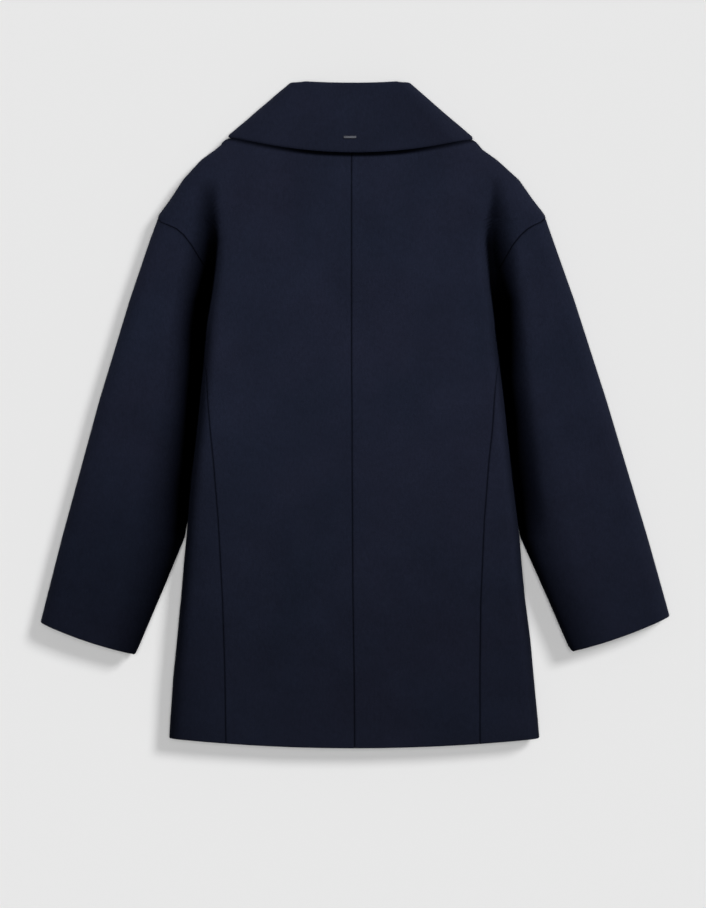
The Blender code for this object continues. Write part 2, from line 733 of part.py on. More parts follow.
def plate(name, corners, low, high, material, bevel):
    """A flat piece with softened edges, from its corners seen from above."""
    shape = bmesh.new()
    ring = [shape.verts.new((x * MM, y * MM, low * MM)) for x, y in corners]
    base = shape.faces.new(ring)
    raised = bmesh.ops.extrude_face_region(shape, geom=[base])
    top = [part for part in raised["geom"] if isinstance(part, bmesh.types.BMVert)]
    bmesh.ops.translate(shape, verts=top, vec=(0.0, 0.0, (high - low) * MM))
    bmesh.ops.recalc_face_normals(shape, faces=shape.faces)
    if bevel:
        bmesh.ops.bevel(shape, geom=list(shape.edges), offset=bevel * MM, segments=2, profile=0.5,
                        affect="EDGES", clamp_overlap=True)
    mesh = bpy.data.meshes.new(name)
    shape.to_mesh(mesh)
    shape.free()
    piece = bpy.data.objects.new(name, mesh)
    bpy.context.collection.objects.link(piece)
    mesh.materials.append(material)
    return piece


def lapel(side, material):
    """The turned-back front edge, lying under its front: roll line, tip and notch."""
    sign = sign_of(side)
    tip = (sign * LAPEL_TIP[0], LAPEL_TIP[1])
    top = (sign * (front_inner_x(LAPEL_ROLL_TOP[1]) + 0.5), LAPEL_ROLL_TOP[1])
    if side == "right":
        corners = [(-OVERLAP + 1.0, BREAK_Y + 1.0), tip, top]
    else:
        corners = [*LEFT_LAPEL_LOW, top, tip]
    return plate("lapel_" + side, corners, 0.0, FRONT_LIFT - LAPEL_GAP, material, LAPEL_BEVEL)


def button(name, x, y, material):
    """A turned button with a raised rim, its face resting on the floor."""
    shape = bmesh.new()
    verts = [shape.verts.new((BUTTON_RADIUS * share * MM, 0.0, z * MM)) for share, z in BUTTON_PROFILE]
    edges = [shape.edges.new(pair) for pair in zip(verts, verts[1:])]
    bmesh.ops.spin(shape, geom=verts + edges, cent=(0, 0, 0), axis=(0, 0, 1), angle=2 * math.pi, steps=16,
                   use_merge=True, use_duplicate=False)
    bmesh.ops.remove_doubles(shape, verts=shape.verts, dist=1e-6)
    bmesh.ops.recalc_face_normals(shape, faces=shape.faces)
    mesh = bpy.data.meshes.new(name)
    shape.to_mesh(mesh)
    shape.free()
    mesh.shade_smooth()
    mesh.set_sharp_from_angle(angle=math.radians(35))
    piece = bpy.data.objects.new(name, mesh)
    piece.location = (x * MM, y * MM, 0.0)
    bpy.context.collection.objects.link(piece)
    mesh.materials.append(material)
    return piece


clear_scene()
wool = make_material("navy_melton", (0.011, 0.0145, 0.0245), 0.92, 0.0)
horn = make_material("dark_button", (0.012, 0.012, 0.016), 0.45, 0.0)
metal = make_material("brushed_bar", (0.22, 0.23, 0.26), 0.4, 1.0)

for side in ("left", "right"):
    panel("back_" + side, side, BACK_HEIGHTS, back_section, BACK_COLUMNS, BACK_CROWD, hem_and_neck_bend, wool)
    panel("side_" + side, side, SIDE_HEIGHTS, side_section, SIDE_COLUMNS, 1.0, hem_bend, wool)
    panel("front_" + side, side, FRONT_HEIGHTS, front_section, FRONT_COLUMNS, 1.0, hem_bend, wool)
    sleeve_panel("sleeve_back_" + side, side, True, wool)
    sleeve_panel("sleeve_front_" + side, side, False, wool)
    lapel(side, wool)

collar_fall(wool)
collar_stand(wool)
for row, height in enumerate(BUTTON_ROWS, start=1):
    for side in ("left", "right"):
        button("button_" + side + "_" + str(row), sign_of(side) * BUTTON_X, height, horn)

bar_corners = [(BAR_PLACE[0] + across * BAR_LENGTH / 2, BAR_PLACE[1] + up * BAR_WIDTH / 2)
               for across, up in ((-1, -1), (1, -1), (1, 1), (-1, 1))]
plate("collar_bar", bar_corners, BAR_FOOT_Z, BAR_FOOT_Z + BAR_THICKNESS, metal, BAR_BEVEL)
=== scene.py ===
"""A double-breasted pea coat of navy melton, laid on its front on a pale table and seen from above.

Lengths are millimetres, turned into metres by MM. X runs towards the wearer's right,
Y from the hem to the collar, Z up out of the coat's back.
"""

import math

import bmesh
import bpy
import numpy as np
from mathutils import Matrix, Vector


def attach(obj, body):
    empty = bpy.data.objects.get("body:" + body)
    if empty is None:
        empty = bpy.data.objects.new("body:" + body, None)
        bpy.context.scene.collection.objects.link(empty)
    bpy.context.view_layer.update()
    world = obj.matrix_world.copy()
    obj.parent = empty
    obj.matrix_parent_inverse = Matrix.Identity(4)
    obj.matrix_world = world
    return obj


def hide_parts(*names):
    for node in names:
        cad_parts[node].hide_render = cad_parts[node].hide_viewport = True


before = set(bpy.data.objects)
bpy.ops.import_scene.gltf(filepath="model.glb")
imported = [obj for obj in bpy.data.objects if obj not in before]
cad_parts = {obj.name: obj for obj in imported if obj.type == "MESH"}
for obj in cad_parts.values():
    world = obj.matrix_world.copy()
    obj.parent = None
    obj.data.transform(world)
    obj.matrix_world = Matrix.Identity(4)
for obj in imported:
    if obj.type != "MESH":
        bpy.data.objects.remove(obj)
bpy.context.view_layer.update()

# ---------------------------------------------------------------------------------------------
# Back, left and right halves. Thick brushed melton, joined by a plain pressed seam down the
# middle; each half runs over the shoulder's edge and down the deep fold beside its sleeve.
MM = 0.001
BODY_CLOTH = 2.8
SEAM_PRESS = 0.06  # sewn edges press this far into each other, so no light comes through
MID_HEIGHT = 17.0  # where the upper layers meet the lower ones at every outer edge
SLEEVE_HEIGHT = 34.0
FOLD_BOTTOM = 8.0
FRONT_LIFT = 4.3  # the fronts bridge over lapels and buttons at this height
SIDE_ROUND = 15.0
UNDER_ROUND = 40.0
EDGE_ROUND = 22.0
SHOULDER_ROUND = 32.0
PRESSED_HALF = 3.6
NECK_Y = 403.7
NECK_HALF = 85.0
NECK_DIP = 18.0
FOLD_START_Y = 300.0
SHOULDER_TIP_Y = 255.0
CREVICE_Y = 192.0  # where the armhole seam runs down into the deep fold
UNDERARM_Y = 95.0
SIDE_SEAM_Y = 52.0
HEM_Y = -420.6
HEM_DROP = 12.5
FRONT_SEAM_X = 150.0  # the side-front seams, under the coat
# the collar's lower edge over the back: y at its middle, then half its width and its ends' rise
COLLAR_EDGE_Y = 339.9
COLLAR_EDGE = {"left": (165.5, 22.0), "right": (154.0, 19.5)}

# y, then the outline of shoulders and sleeves on the wearer's left and right
OUTLINE = np.array([
    (403.7, -80.0, 68.0), (366.0, -148.0, 134.0), (360.5, -158.0, 141.0),
    (357.5, -168.0, 152.0), (353.5, -172.5, 158.0), (350.0, -174.5, 161.0), (344.0, -182.0, 166.0),
    (330.9, -200.2, 184.6), (304.9, -223.6, 213.2),
    (278.9, -240.5, 231.4), (259.4, -254.8, 246.5), (226.9, -266.5, 257.4),
    (148.9, -292.9, 285.0), (18.9, -332.2, 326.8), (-163.2, -381.7, 381.4),
    (-330.0, -424.0, 428.0)])
# y, then the edge of the body: beside the sleeves, then its own side folds
BODY_EDGE = np.array([
    (403.7, -184.0, 170.0), (259.4, -179.4, 170.3), (226.9, -178.1, 169.7),
    (187.9, -181.4, 173.6), (163.2, -184.6, 175.5), (113.8, -193.1, 182.0),
    (63.1, -197.0, 187.9), (18.9, -201.5, 193.1), (-33.2, -206.7, 198.9),
    (-85.2, -213.2, 204.8), (-156.7, -219.3, 214.0), (-189.2, -222.3, 216.3),
    (-241.2, -226.4, 221.2), (-293.2, -231.5, 228.0), (-345.2, -236.6, 233.1),
    (-397.2, -240.5, 238.0), (-433.0, -242.4, 240.6)])
# y, then the left side-back seam, the centre-back seam and the right side-back seam
BACK_SEAMS = np.array([
    (403.7, -193.0, -4.7, 184.0), (52.0, -193.0, -4.6, 184.0), (18.9, -191.5, -4.2, 180.5),
    (-20.1, -188.0, -4.0, 177.8), (-59.2, -184.0, -4.0, 173.5), (-137.2, -177.5, -3.5, 167.4),
    (-241.2, -172.0, -2.9, 162.8), (-332.2, -169.0, -1.4, 161.7), (-433.0, -167.5, -0.5, 162.0)])
# y, then the height of the back as it lies
BACK_HEIGHT = np.array([
    (431.0, 28.0), (351.7, 31.0), (304.9, 34.0), (190.0, 38.0), (-150.0, 38.0),
    (-330.0, 36.0), (-433.0, 33.0)])
# y, then the armhole seam on the back, from the shoulder tip into the fold
ARMHOLE = np.array([
    (255.0, -256.0, 248.0), (250.0, -253.0, 242.2), (246.0, -243.5, 233.5),
    (241.0, -232.5, 225.0), (233.0, -223.1, 216.0), (220.0, -212.9, 205.3),
    (205.0, -203.8, 196.5), (192.0, -195.5, 189.0)])
# y, then the inner edge of each sleeve
SLEEVE_INNER = np.array([
    (95.0, -188.6, 178.4), (18.9, -195.5, 187.1), (-33.2, -201.7, 193.9),
    (-85.2, -209.5, 201.0), (-130.0, -216.5, 210.0), (-160.0, -221.6, 215.2),
    (-230.0, -250.4, 246.4), (-312.0, -285.4, 282.1)])
# the painted shade in the fold beside each sleeve: y, how dark, where the dark begins outboard of
# the body's edge and how softly, where it starts to lighten, where the cloth is open again, and how
# fast it lightens
FOLDS = {
    "left": np.array([
        (310.0, 0.00, 5.0, 12.0, 10.0, 26.0, 1.2), (296.0, 0.30, 5.0, 11.0, 10.0, 27.0, 1.2),
        (279.0, 0.60, 4.0, 10.0, 10.0, 30.0, 1.2), (253.0, 0.80, 3.0, 8.0, 11.0, 36.0, 1.2),
        (220.0, 0.97, 1.5, 4.0, 12.0, 42.0, 1.2), (188.0, 1.00, 1.0, 2.5, 15.0, 48.0, 1.2),
        (149.0, 1.00, 1.0, 2.5, 20.0, 49.0, 1.2), (97.0, 1.00, 1.0, 2.5, 19.0, 50.0, 1.3),
        (45.0, 1.00, 1.0, 2.5, 17.0, 54.0, 1.6), (-7.0, 1.00, 1.0, 2.0, 16.0, 62.0, 1.8),
        (-59.0, 1.00, 1.0, 2.0, 14.0, 72.0, 1.8), (-111.0, 1.00, 1.0, 2.0, 14.0, 76.0, 1.8),
        (-150.0, 0.99, 1.0, 2.0, 12.0, 78.0, 1.7), (-189.0, 0.92, 0.0, 2.0, 5.0, 64.0, 1.6),
        (-241.0, 0.86, 0.0, 2.0, 0.0, 60.0, 1.5), (-330.0, 0.76, 0.0, 2.0, -2.0, 52.0, 1.5)]),
    "right": np.array([
        (310.0, 0.00, 12.0, 8.0, 14.0, 26.0, 1.2), (296.0, 0.30, 12.0, 8.0, 14.0, 27.0, 1.2),
        (279.0, 0.55, 11.0, 8.0, 14.0, 30.0, 1.2), (253.0, 0.72, 5.0, 6.0, 14.0, 38.0, 1.2),
        (220.0, 0.92, 1.5, 4.0, 12.0, 44.0, 1.2), (188.0, 0.94, 1.0, 3.0, 15.0, 46.0, 1.2),
        (149.0, 1.00, 1.0, 2.0, 24.0, 52.0, 1.5), (97.0, 1.00, 1.0, 2.0, 19.0, 51.0, 1.7),
        (45.0, 1.00, 1.0, 2.0, 13.0, 56.0, 2.2), (-7.0, 1.00, 1.0, 2.0, 13.0, 58.0, 2.0),
        (-59.0, 1.00, 1.0, 2.0, 10.0, 66.0, 1.8), (-111.0, 1.00, 1.0, 2.0, 10.0, 72.0, 1.8),
        (-150.0, 1.00, 1.0, 2.0, 8.0, 74.0, 1.9), (-189.0, 0.95, 0.0, 2.0, 1.0, 64.0, 1.6),
        (-241.0, 0.82, 0.0, 2.0, 0.0, 75.0, 1.5), (-330.0, 0.78, 0.0, 2.0, -2.0, 56.0, 1.5)])}
# soft creases in the back and sleeves: x1, y1, x2, y2, half width, depth (ridges are negative)
UPPER_CREASES = np.array([
    (-352.0, -148.0, -262.0, -112.0, 11.0, 0.9), (-338.0, -70.0, -262.0, -22.0, 10.0, 0.8),
    (-345.0, -112.0, -275.0, -70.0, 12.0, -0.6), (-305.0, 50.0, -250.0, 92.0, 9.0, 0.5),
    (-288.0, 150.0, -232.0, 170.0, 9.0, 0.6), (-262.0, 222.0, -228.0, 196.0, 8.0, 0.5),
    (-384.0, -232.0, -318.0, -214.0, 9.0, 0.6), (-300.0, -262.0, -280.0, -196.0, 9.0, -0.5),
    (262.0, -92.0, 346.0, -128.0, 11.0, 0.8), (258.0, -22.0, 322.0, -52.0, 10.0, 0.6),
    (268.0, -58.0, 336.0, -90.0, 12.0, -0.5), (246.0, 96.0, 296.0, 60.0, 9.0, 0.5),
    (226.0, 176.0, 280.0, 158.0, 9.0, 0.6), (218.0, 198.0, 252.0, 228.0, 7.0, 0.4),
    (316.0, -212.0, 388.0, -226.0, 9.0, 0.5), (286.0, -250.0, 278.0, -190.0, 8.0, -0.4),
    (-172.0, 96.0, -104.0, 148.0, 16.0, 0.8), (-168.0, 30.0, -96.0, 62.0, 18.0, 0.6),
    (-176.0, 214.0, -128.0, 262.0, 12.0, 0.5), (166.0, 104.0, 96.0, 160.0, 16.0, 0.7),
    (172.0, 22.0, 104.0, 58.0, 18.0, 0.6), (164.0, 220.0, 118.0, 266.0, 12.0, 0.5),
    (-118.0, -432.0, -98.0, -262.0, 20.0, 1.0), (-62.0, -432.0, -56.0, -300.0, 22.0, -0.8),
    (84.0, -432.0, 70.0, -286.0, 20.0, 0.9), (132.0, -432.0, 116.0, -240.0, 22.0, -0.8),
    (-206.0, -428.0, -196.0, -260.0, 12.0, 0.7), (206.0, -428.0, 196.0, -250.0, 12.0, 0.6),
    (-40.0, -60.0, 46.0, -78.0, 26.0, 0.5), (-96.0, -128.0, -24.0, -146.0, 24.0, 0.4),
    (38.0, 214.0, 112.0, 236.0, 24.0, 0.4), (-110.0, 292.0, -58.0, 330.0, 16.0, 0.4)])


def table(rows, y, column):
    """The value at height y of a table that runs from neck to hem."""
    return float(np.interp(-y, -rows[:, 0], rows[:, column]))


def smooth(value):
    """A soft step from 0 to 1."""
    value = min(max(value, 0.0), 1.0)
    return value * value * (3.0 - 2.0 * value)


def arc(value):
    """A quarter circle's height, from 0 at its foot to 1."""
    value = min(max(value, 0.0), 1.0)
    return math.sqrt(1.0 - (1.0 - value) ** 2)


def sign_of(side):
    return -1.0 if side == "left" else 1.0


def outline_at(side, y):
    """The outer edge of shoulder and sleeve, measured from the middle."""
    return abs(table(OUTLINE, y, 1 if side == "left" else 2))


def edge_at(side, y):
    """The body's own edge beside the sleeve, measured from the middle."""
    return abs(table(BODY_EDGE, y, 1 if side == "left" else 2))


def sleeve_inner_at(side, y):
    return abs(table(SLEEVE_INNER, y, 1 if side == "left" else 2))


def armhole_at(side, y):
    """The armhole seam's distance from the middle, seen from above."""
    column = 1 if side == "left" else 2
    if y > CREVICE_Y:
        return abs(table(ARMHOLE, y, column))
    near = abs(table(ARMHOLE, CREVICE_Y, column))
    deep = edge_at(side, UNDERARM_Y) - 6.0
    return near + (deep - near) * (CREVICE_Y - y) / (CREVICE_Y - UNDERARM_Y)


def fold_depth(y):
    """0 where the back runs flat over the shoulder, 1 where the fold beside the sleeve is deep."""
    return smooth((FOLD_START_Y - y) / 115.0)


def front_lift(x, y):
    """The fronts bridge over lapels, collar and buttons."""
    across = smooth((FRONT_SEAM_X - abs(x)) / 40.0)
    return FRONT_LIFT * max(across, smooth((y - 200.0) / 50.0))


def round_width(y):
    """How far in from the outline the cloth rounds over; wider at the shoulder."""
    return EDGE_ROUND + (SHOULDER_ROUND - EDGE_ROUND) * smooth((y - SHOULDER_TIP_Y) / 55.0)


def inner_fold_half(y):
    """Half the height of a sleeve's inner fold: pressed thin under the body, then round."""
    return PRESSED_HALF + (MID_HEIGHT - PRESSED_HALF) * smooth((-100.0 - y) / 95.0)


def upper_height(side, x, y):
    """The upper surface outboard of the body's edge, x and y as seen from above."""
    x = abs(x)
    depth = fold_depth(y)
    loft = table(BACK_HEIGHT, y, 1)
    crown = (1.0 - depth) * loft + depth * SLEEVE_HEIGHT
    low = (1.0 - depth) * loft + depth * FOLD_BOTTOM
    rise = smooth((x - edge_at(side, y) - 2.0) / 38.0)
    if y < UNDERARM_Y:
        closing = smooth((UNDERARM_Y - y) / 15.0)
        half = inner_fold_half(y)
        rounding = arc((x - sleeve_inner_at(side, y)) / half)
        low += closing * (half + half * rounding - low)
        rise *= 1.0 + closing * (rounding - 1.0)
    height = low + (crown - low) * rise
    if height > MID_HEIGHT:
        height = MID_HEIGHT + (height - MID_HEIGHT) * arc((outline_at(side, y) - x) / round_width(y))
    return height


def lower_height(side, x, y):
    """The lower surface, on the table and rounding up to the outline and the inner fold."""
    x = abs(x)
    low = front_lift(x, y)
    height = low + (MID_HEIGHT - low) * (1.0 - arc((outline_at(side, y) - x) / round_width(y)))
    if y < UNDERARM_Y:
        half = inner_fold_half(y)
        closing = smooth((UNDERARM_Y - y) / 15.0)
        height += closing * half * (1.0 - arc((x - sleeve_inner_at(side, y)) / half))
    return height


def shoulder_arc(limit, width, crown, first):
    """The back's section where it rounds over the shoulder, down to the shoulder seam."""
    return [(limit - width + width * math.sin(angle),
             MID_HEIGHT + (crown - MID_HEIGHT) * math.cos(angle))
            for angle in np.linspace(first, math.pi / 2, 40)]


def back_section(side, y):
    """Half the back's section, centre seam to outer seam, as (outboard, height) points."""
    centre = sign_of(side) * table(BACK_SEAMS, y, 2)
    top = table(BACK_HEIGHT, y, 1)
    edge = edge_at(side, y)
    width = round_width(y)
    if y > FOLD_START_Y:
        flat = [(x, top) for x in np.linspace(centre, outline_at(side, y) - width, 60)]
        return np.array(flat + shoulder_arc(outline_at(side, y), width, top, 0.03)), 0.0, None
    if y <= UNDERARM_Y:
        ring = body_ring(side, y)
        return ring, 0.0, side_back_seam(side, y, ring)
    points = [(x, top) for x in np.linspace(centre, edge - SIDE_ROUND, 60)[:-1]]
    depth = fold_depth(y)
    bottom = (1.0 - depth) * top + depth * FOLD_BOTTOM
    end = edge + 10.0 if y > CREVICE_Y else armhole_at(side, y)
    bulge = edge + 1.4 * smooth(depth)
    handles = np.array([(edge - SIDE_ROUND, top), (bulge, top),
                        (bulge + 1.4 * (1.0 - depth), bottom), (end, bottom)])
    for t in np.linspace(0.0, 1.0, 60):
        share = np.array([(1 - t) ** 3, 3 * t * (1 - t) ** 2, 3 * t * t * (1 - t), t ** 3])
        points.append(tuple(share @ handles))
    if y > SHOULDER_TIP_Y:
        limit = outline_at(side, y)
        for x in np.linspace(end + 1.0, limit - width, 50):
            points.append((x, upper_height(side, x, y)))
        points += shoulder_arc(limit, width, points[-1][1], 0.06)
    elif y > CREVICE_Y:
        for x in np.linspace(end + 0.5, max(armhole_at(side, y), end + 1.0), 50):
            points.append((x, upper_height(side, x, y)))
    return np.array(points), 0.0, None


def body_ring(side, y):
    """Half of the body's closed section: centre back, side fold, centre front."""
    edge = edge_at(side, y)
    top = table(BACK_HEIGHT, y, 1)
    centre = sign_of(side) * table(BACK_SEAMS, y, 2)
    points = [(x, top) for x in np.linspace(centre, edge - SIDE_ROUND, 60)[:-1]]
    for angle in np.linspace(0.0, math.pi / 2, 40)[:-1]:
        points.append((edge - SIDE_ROUND + SIDE_ROUND * math.sin(angle),
                       MID_HEIGHT + (top - MID_HEIGHT) * math.cos(angle)))
    for angle in np.linspace(0.0, math.pi / 2, 40)[:-1]:
        x = edge - UNDER_ROUND + UNDER_ROUND * math.cos(angle)
        low = front_lift(x, y)
        points.append((x, low + (MID_HEIGHT - low) * (1.0 - math.sin(angle))))
    points += [(x, front_lift(x, y)) for x in np.linspace(edge - UNDER_ROUND, 0.0, 60)]
    return np.array(points)


def distances(section):
    """Distance along a line of points, up to each of them."""
    return np.concatenate([[0.0], np.cumsum(np.hypot(*np.diff(section, axis=0).T))])


def distance_to(section, x, upper):
    """Distance along a ring to where it crosses x, on its upper or its lower half."""
    along = distances(section)
    far = int(np.argmax(section[:, 0]))
    if upper:
        return float(np.interp(x, section[:far + 1, 0], along[:far + 1]))
    return float(np.interp(-x, -section[far:, 0], along[far:]))


def side_back_seam(side, y, ring):
    """The side-back seam's distance along the ring; above the flat it climbs from the fold."""
    seam = distance_to(ring, abs(table(BACK_SEAMS, y, 1 if side == "left" else 3)), True)
    deep = distance_to(ring, edge_at(side, y) - 6.0, False)
    return seam + (deep - seam) * smooth((y - SIDE_SEAM_Y) / (UNDERARM_Y - SIDE_SEAM_Y))


def hem_bend(x, y):
    """The hem drops at the middle of the back."""
    reach = smooth((-330.0 - y) / (-330.0 - HEM_Y))
    return y - HEM_DROP * reach * max(0.0, 1.0 - (x / 240.0) ** 2)


def neck_and_hem_bend(x, y):
    """The back neckline dips too."""
    dip = NECK_DIP * max(0.0, 1.0 - (x / NECK_HALF) ** 2)
    return hem_bend(x, y) - max(0.0, 1.0 - (NECK_Y - y) / 70.0) * dip


def stops_across(length, middle_count):
    """Distances across a panel, close together at its two seams."""
    near = np.array([0.0, 0.25, 0.6, 1.1, 1.8, 2.8, 4.2])
    middle = np.linspace(6.5, length - 6.5, middle_count)
    return np.concatenate([near, middle, length - near[::-1]])


def crease_depth(creases, x, y):
    """How far the soft, slightly bowed creases press the cloth in at places x, y (arrays)."""
    depth = np.zeros_like(x)
    for x1, y1, x2, y2, half, deep in creases:
        run = np.array([x2 - x1, y2 - y1])
        span = float(np.hypot(*run))
        run /= span
        t = ((x - x1) * run[0] + (y - y1) * run[1]) / span
        bow = 0.08 * span * np.sin(np.clip(t, 0.0, 1.0) * math.pi)
        off = (x - x1) * run[1] - (y - y1) * run[0] - bow
        fade = np.clip(np.minimum(t + 0.15, 1.15 - t) / 0.45, 0.0, 1.0)
        depth += deep * fade * fade * (3 - 2 * fade) * np.exp(-(off / half) ** 2)
    return depth


def cloth_waves(x, y):
    """The faint unevenness of a pressed heavy wool."""
    return (0.16 * np.sin(x / 17.3 + 1.3 * np.sin(y / 41.0)) * np.cos(y / 29.7)
            + 0.11 * np.sin(x / 8.9 + y / 13.7 + 0.7 * np.sin(x / 31.0))
            + 0.18 * np.sin(y / 46.0 - x / 63.0 + 0.9))


def seam_dip(distance):
    """A pressed seam: the cloth rolls down to it and stands a little proud beside it."""
    inside = np.clip(1.0 - distance / 1.5, 0.0, 1.0)
    return 1.25 * inside ** 1.6 - 0.22 * np.exp(-((distance - 3.4) / 2.0) ** 2)


def fold_shade(side, x, y):
    """Painted shade: 1 on open cloth, falling towards 0 in the deep fold beside the sleeve, a little
    lower on the left side and just inboard of the body's edges below the armholes.
    """
    side_shade = 1.0
    # painted shade: the left side is darker, more so towards the hem
    if side == "left":
        side_shade -= smooth((-170.0 - x) / 60.0) * (0.05 + 0.15 * smooth((100.0 - y) / 300.0))
    # painted shade just inboard of the body's edges, below the armholes
    inboard = edge_at(side, y) - abs(x)
    if y < 150.0 and inboard > -4.0:
        reach, depth = (22.0, 0.5) if side == "left" else (11.0, 0.35)
        side_shade *= 1.0 - depth * smooth((150.0 - y) / 60.0) * (1.0 - smooth(inboard / reach)) ** 1.5
    # painted shade in the deep fold beside the sleeve
    outboard = abs(x) - max(edge_at(side, y), sleeve_inner_at(side, y) if y < UNDERARM_Y else 0.0)
    dark, begin, soft, start, end, power = (table(FOLDS[side], y, column) for column in range(1, 7))
    if outboard < begin:
        if y < -160.0:
            return side_shade
        lit = smooth((begin - outboard) / soft)
    else:
        lit = 1.0 - (1.0 - min(max((outboard - start) / (end - start), 0.0), 1.0)) ** power
    return side_shade * (1.0 - dark * (1.0 - lit))


def under_collar_shade(side, x, y):
    """Painted shade: the cloth is darkened in the crease right under the collar's lower edge."""
    half, rise = COLLAR_EDGE[side]
    below = COLLAR_EDGE_Y + rise * (x / half) ** 2 - y
    depth = 0.92 - 0.25 * smooth((abs(x) - 60.0) / 70.0)
    return 1.0 - depth * smooth((7.6 - below) / 5.2) if abs(x) < half + 2.0 else 1.0


def make_piece(name, mesh, material, shades, sharp_angle):
    """A piece of the coat from its mesh, with the painted shade that each point of it carries: in
    folds, under the collar and along seams.
    """
    mesh.shade_smooth()
    mesh.set_sharp_from_angle(angle=math.radians(sharp_angle))
    layer = mesh.attributes.new("fold_shade", "FLOAT", "POINT")
    layer.data.foreach_set("value", shades.astype(np.float32))
    mesh.materials.append(material)
    piece = bpy.data.objects.new(name, mesh)
    bpy.context.collection.objects.link(piece)
    return piece


def make_wall(name, outer, inner, material, flip, shades):
    """A closed wall of cloth between two grids of points, [row][column], in millimetres."""
    rows, columns = outer.shape[:2]
    points = np.concatenate([outer.reshape(-1, 3), inner.reshape(-1, 3)]) * MM
    shift = rows * columns
    a = (np.arange(rows - 1)[:, None] * columns + np.arange(columns - 1)[None, :]).reshape(-1)
    quads = np.stack([a, a + 1, a + columns + 1, a + columns], axis=1)
    under = quads[:, ::-1] + shift
    ring = np.concatenate([np.arange(columns - 1),
                           np.arange(rows - 1) * columns + columns - 1,
                           (rows - 1) * columns + np.arange(columns - 1, 0, -1),
                           np.arange(rows - 1, 0, -1) * columns])
    after = np.roll(ring, -1)
    rim = np.stack([after, ring, ring + shift, after + shift], axis=1)
    faces = np.concatenate([quads, under, rim])
    if flip:
        faces = faces[:, ::-1]
    mesh = bpy.data.meshes.new(name)
    mesh.from_pydata(points.tolist(), [], faces.tolist())
    mesh.update()
    return make_piece(name, mesh, material, np.concatenate([shades.reshape(-1)] * 2), 55)


def body_panel(name, side, heights, section_at, columns, bend, creases, material):
    """A body panel: its sections at the given heights, rolled down at its seams."""
    sign = sign_of(side)
    outer, inner, shades = [], [], []
    for y in heights:
        section, start, end = section_at(side, y)
        along = distances(section)
        end = along[-1] if end is None else end
        length = end - start + 2 * SEAM_PRESS
        local = stops_across(length, columns)
        places = start - SEAM_PRESS + local
        here = np.stack([np.interp(places, along, section[:, k]) for k in (0, 1)], axis=1)
        ahead = np.stack([np.interp(np.minimum(places + 1.2, along[-1]), along, section[:, k])
                          - np.interp(np.maximum(places - 1.2, 0.0), along, section[:, k])
                          for k in (0, 1)], axis=1)
        ahead /= np.maximum(np.hypot(*ahead.T), 0.01)[:, None]
        normal = np.stack([-ahead[:, 1], ahead[:, 0]], axis=1)
        at_end = np.minimum(places, along[-1] - places) < 1.0
        at_fold = at_end & (abs(here[:, 1] - MID_HEIGHT) < 0.5)
        normal[at_fold] = (1.0, 0.0)
        x = sign * here[:, 0]
        edge_distance = np.minimum(local, length - local)
        dip = seam_dip(edge_distance) if y < NECK_Y - 20.0 else np.zeros(len(x))
        to_hem = y - HEM_Y
        dip = dip + max(0.0, 1.0 - to_hem / 1.6) ** 1.6 - 0.15 * math.exp(-((to_hem - 4.0) / 2.5) ** 2)
        rows_y = np.array([bend(value, y) for value in x])
        press = dip + crease_depth(creases, x, rows_y) * np.clip(edge_distance / 12.0, 0.0, 1.0)
        press = press + cloth_waves(x, rows_y) * np.clip(edge_distance / 6.0, 0.0, 1.0)
        out = here - press[:, None] * normal
        out[:, 1] = np.maximum(out[:, 1], 0.0)
        within = here - BODY_CLOTH * normal
        outer.append(np.stack([sign * out[:, 0], rows_y, out[:, 1]], axis=1))
        inner.append(np.stack([sign * within[:, 0], rows_y, within[:, 1]], axis=1))
        # painted shade along each seam's groove, darker at the armhole seam, then in the fold and
        # under the collar
        line = 1.0 - 0.5 * np.exp(-(edge_distance / 1.2) ** 2)
        if CREVICE_Y < y < SHOULDER_TIP_Y:
            line *= 1.0 - 0.85 * np.exp(-((length - local) / 1.7) ** 2)
        shades.append([fold_shade(side, value, y) * under_collar_shade(side, value, y)
                       for value in x] * line)
    return make_wall(name, np.array(outer), np.array(inner), material, side == "right",
                     np.array(shades))


def spread(limits, step):
    """Heights from the first limit down to the last, keeping each limit."""
    heights = [limits[0]]
    for low in limits[1:]:
        count = max(1, round((heights[-1] - low) / step))
        heights += list(np.linspace(heights[-1], low, count + 1)[1:])
    return heights


def new_node(nodes, kind, values=None):
    """A shader node with these values on its own sockets."""
    made = nodes.new("ShaderNode" + kind)
    for socket, value in (values or {}).items():
        made.inputs[socket].default_value = value
    return made


def new_material(name, values):
    """A material with these values on its surface, and what is needed to add nodes to it."""
    material = bpy.data.materials.new(name)
    material.use_nodes = True
    nodes, links = material.node_tree.nodes, material.node_tree.links
    surface = nodes["Principled BSDF"]
    for socket, value in values.items():
        surface.inputs[socket].default_value = value
    return material, nodes, links, surface
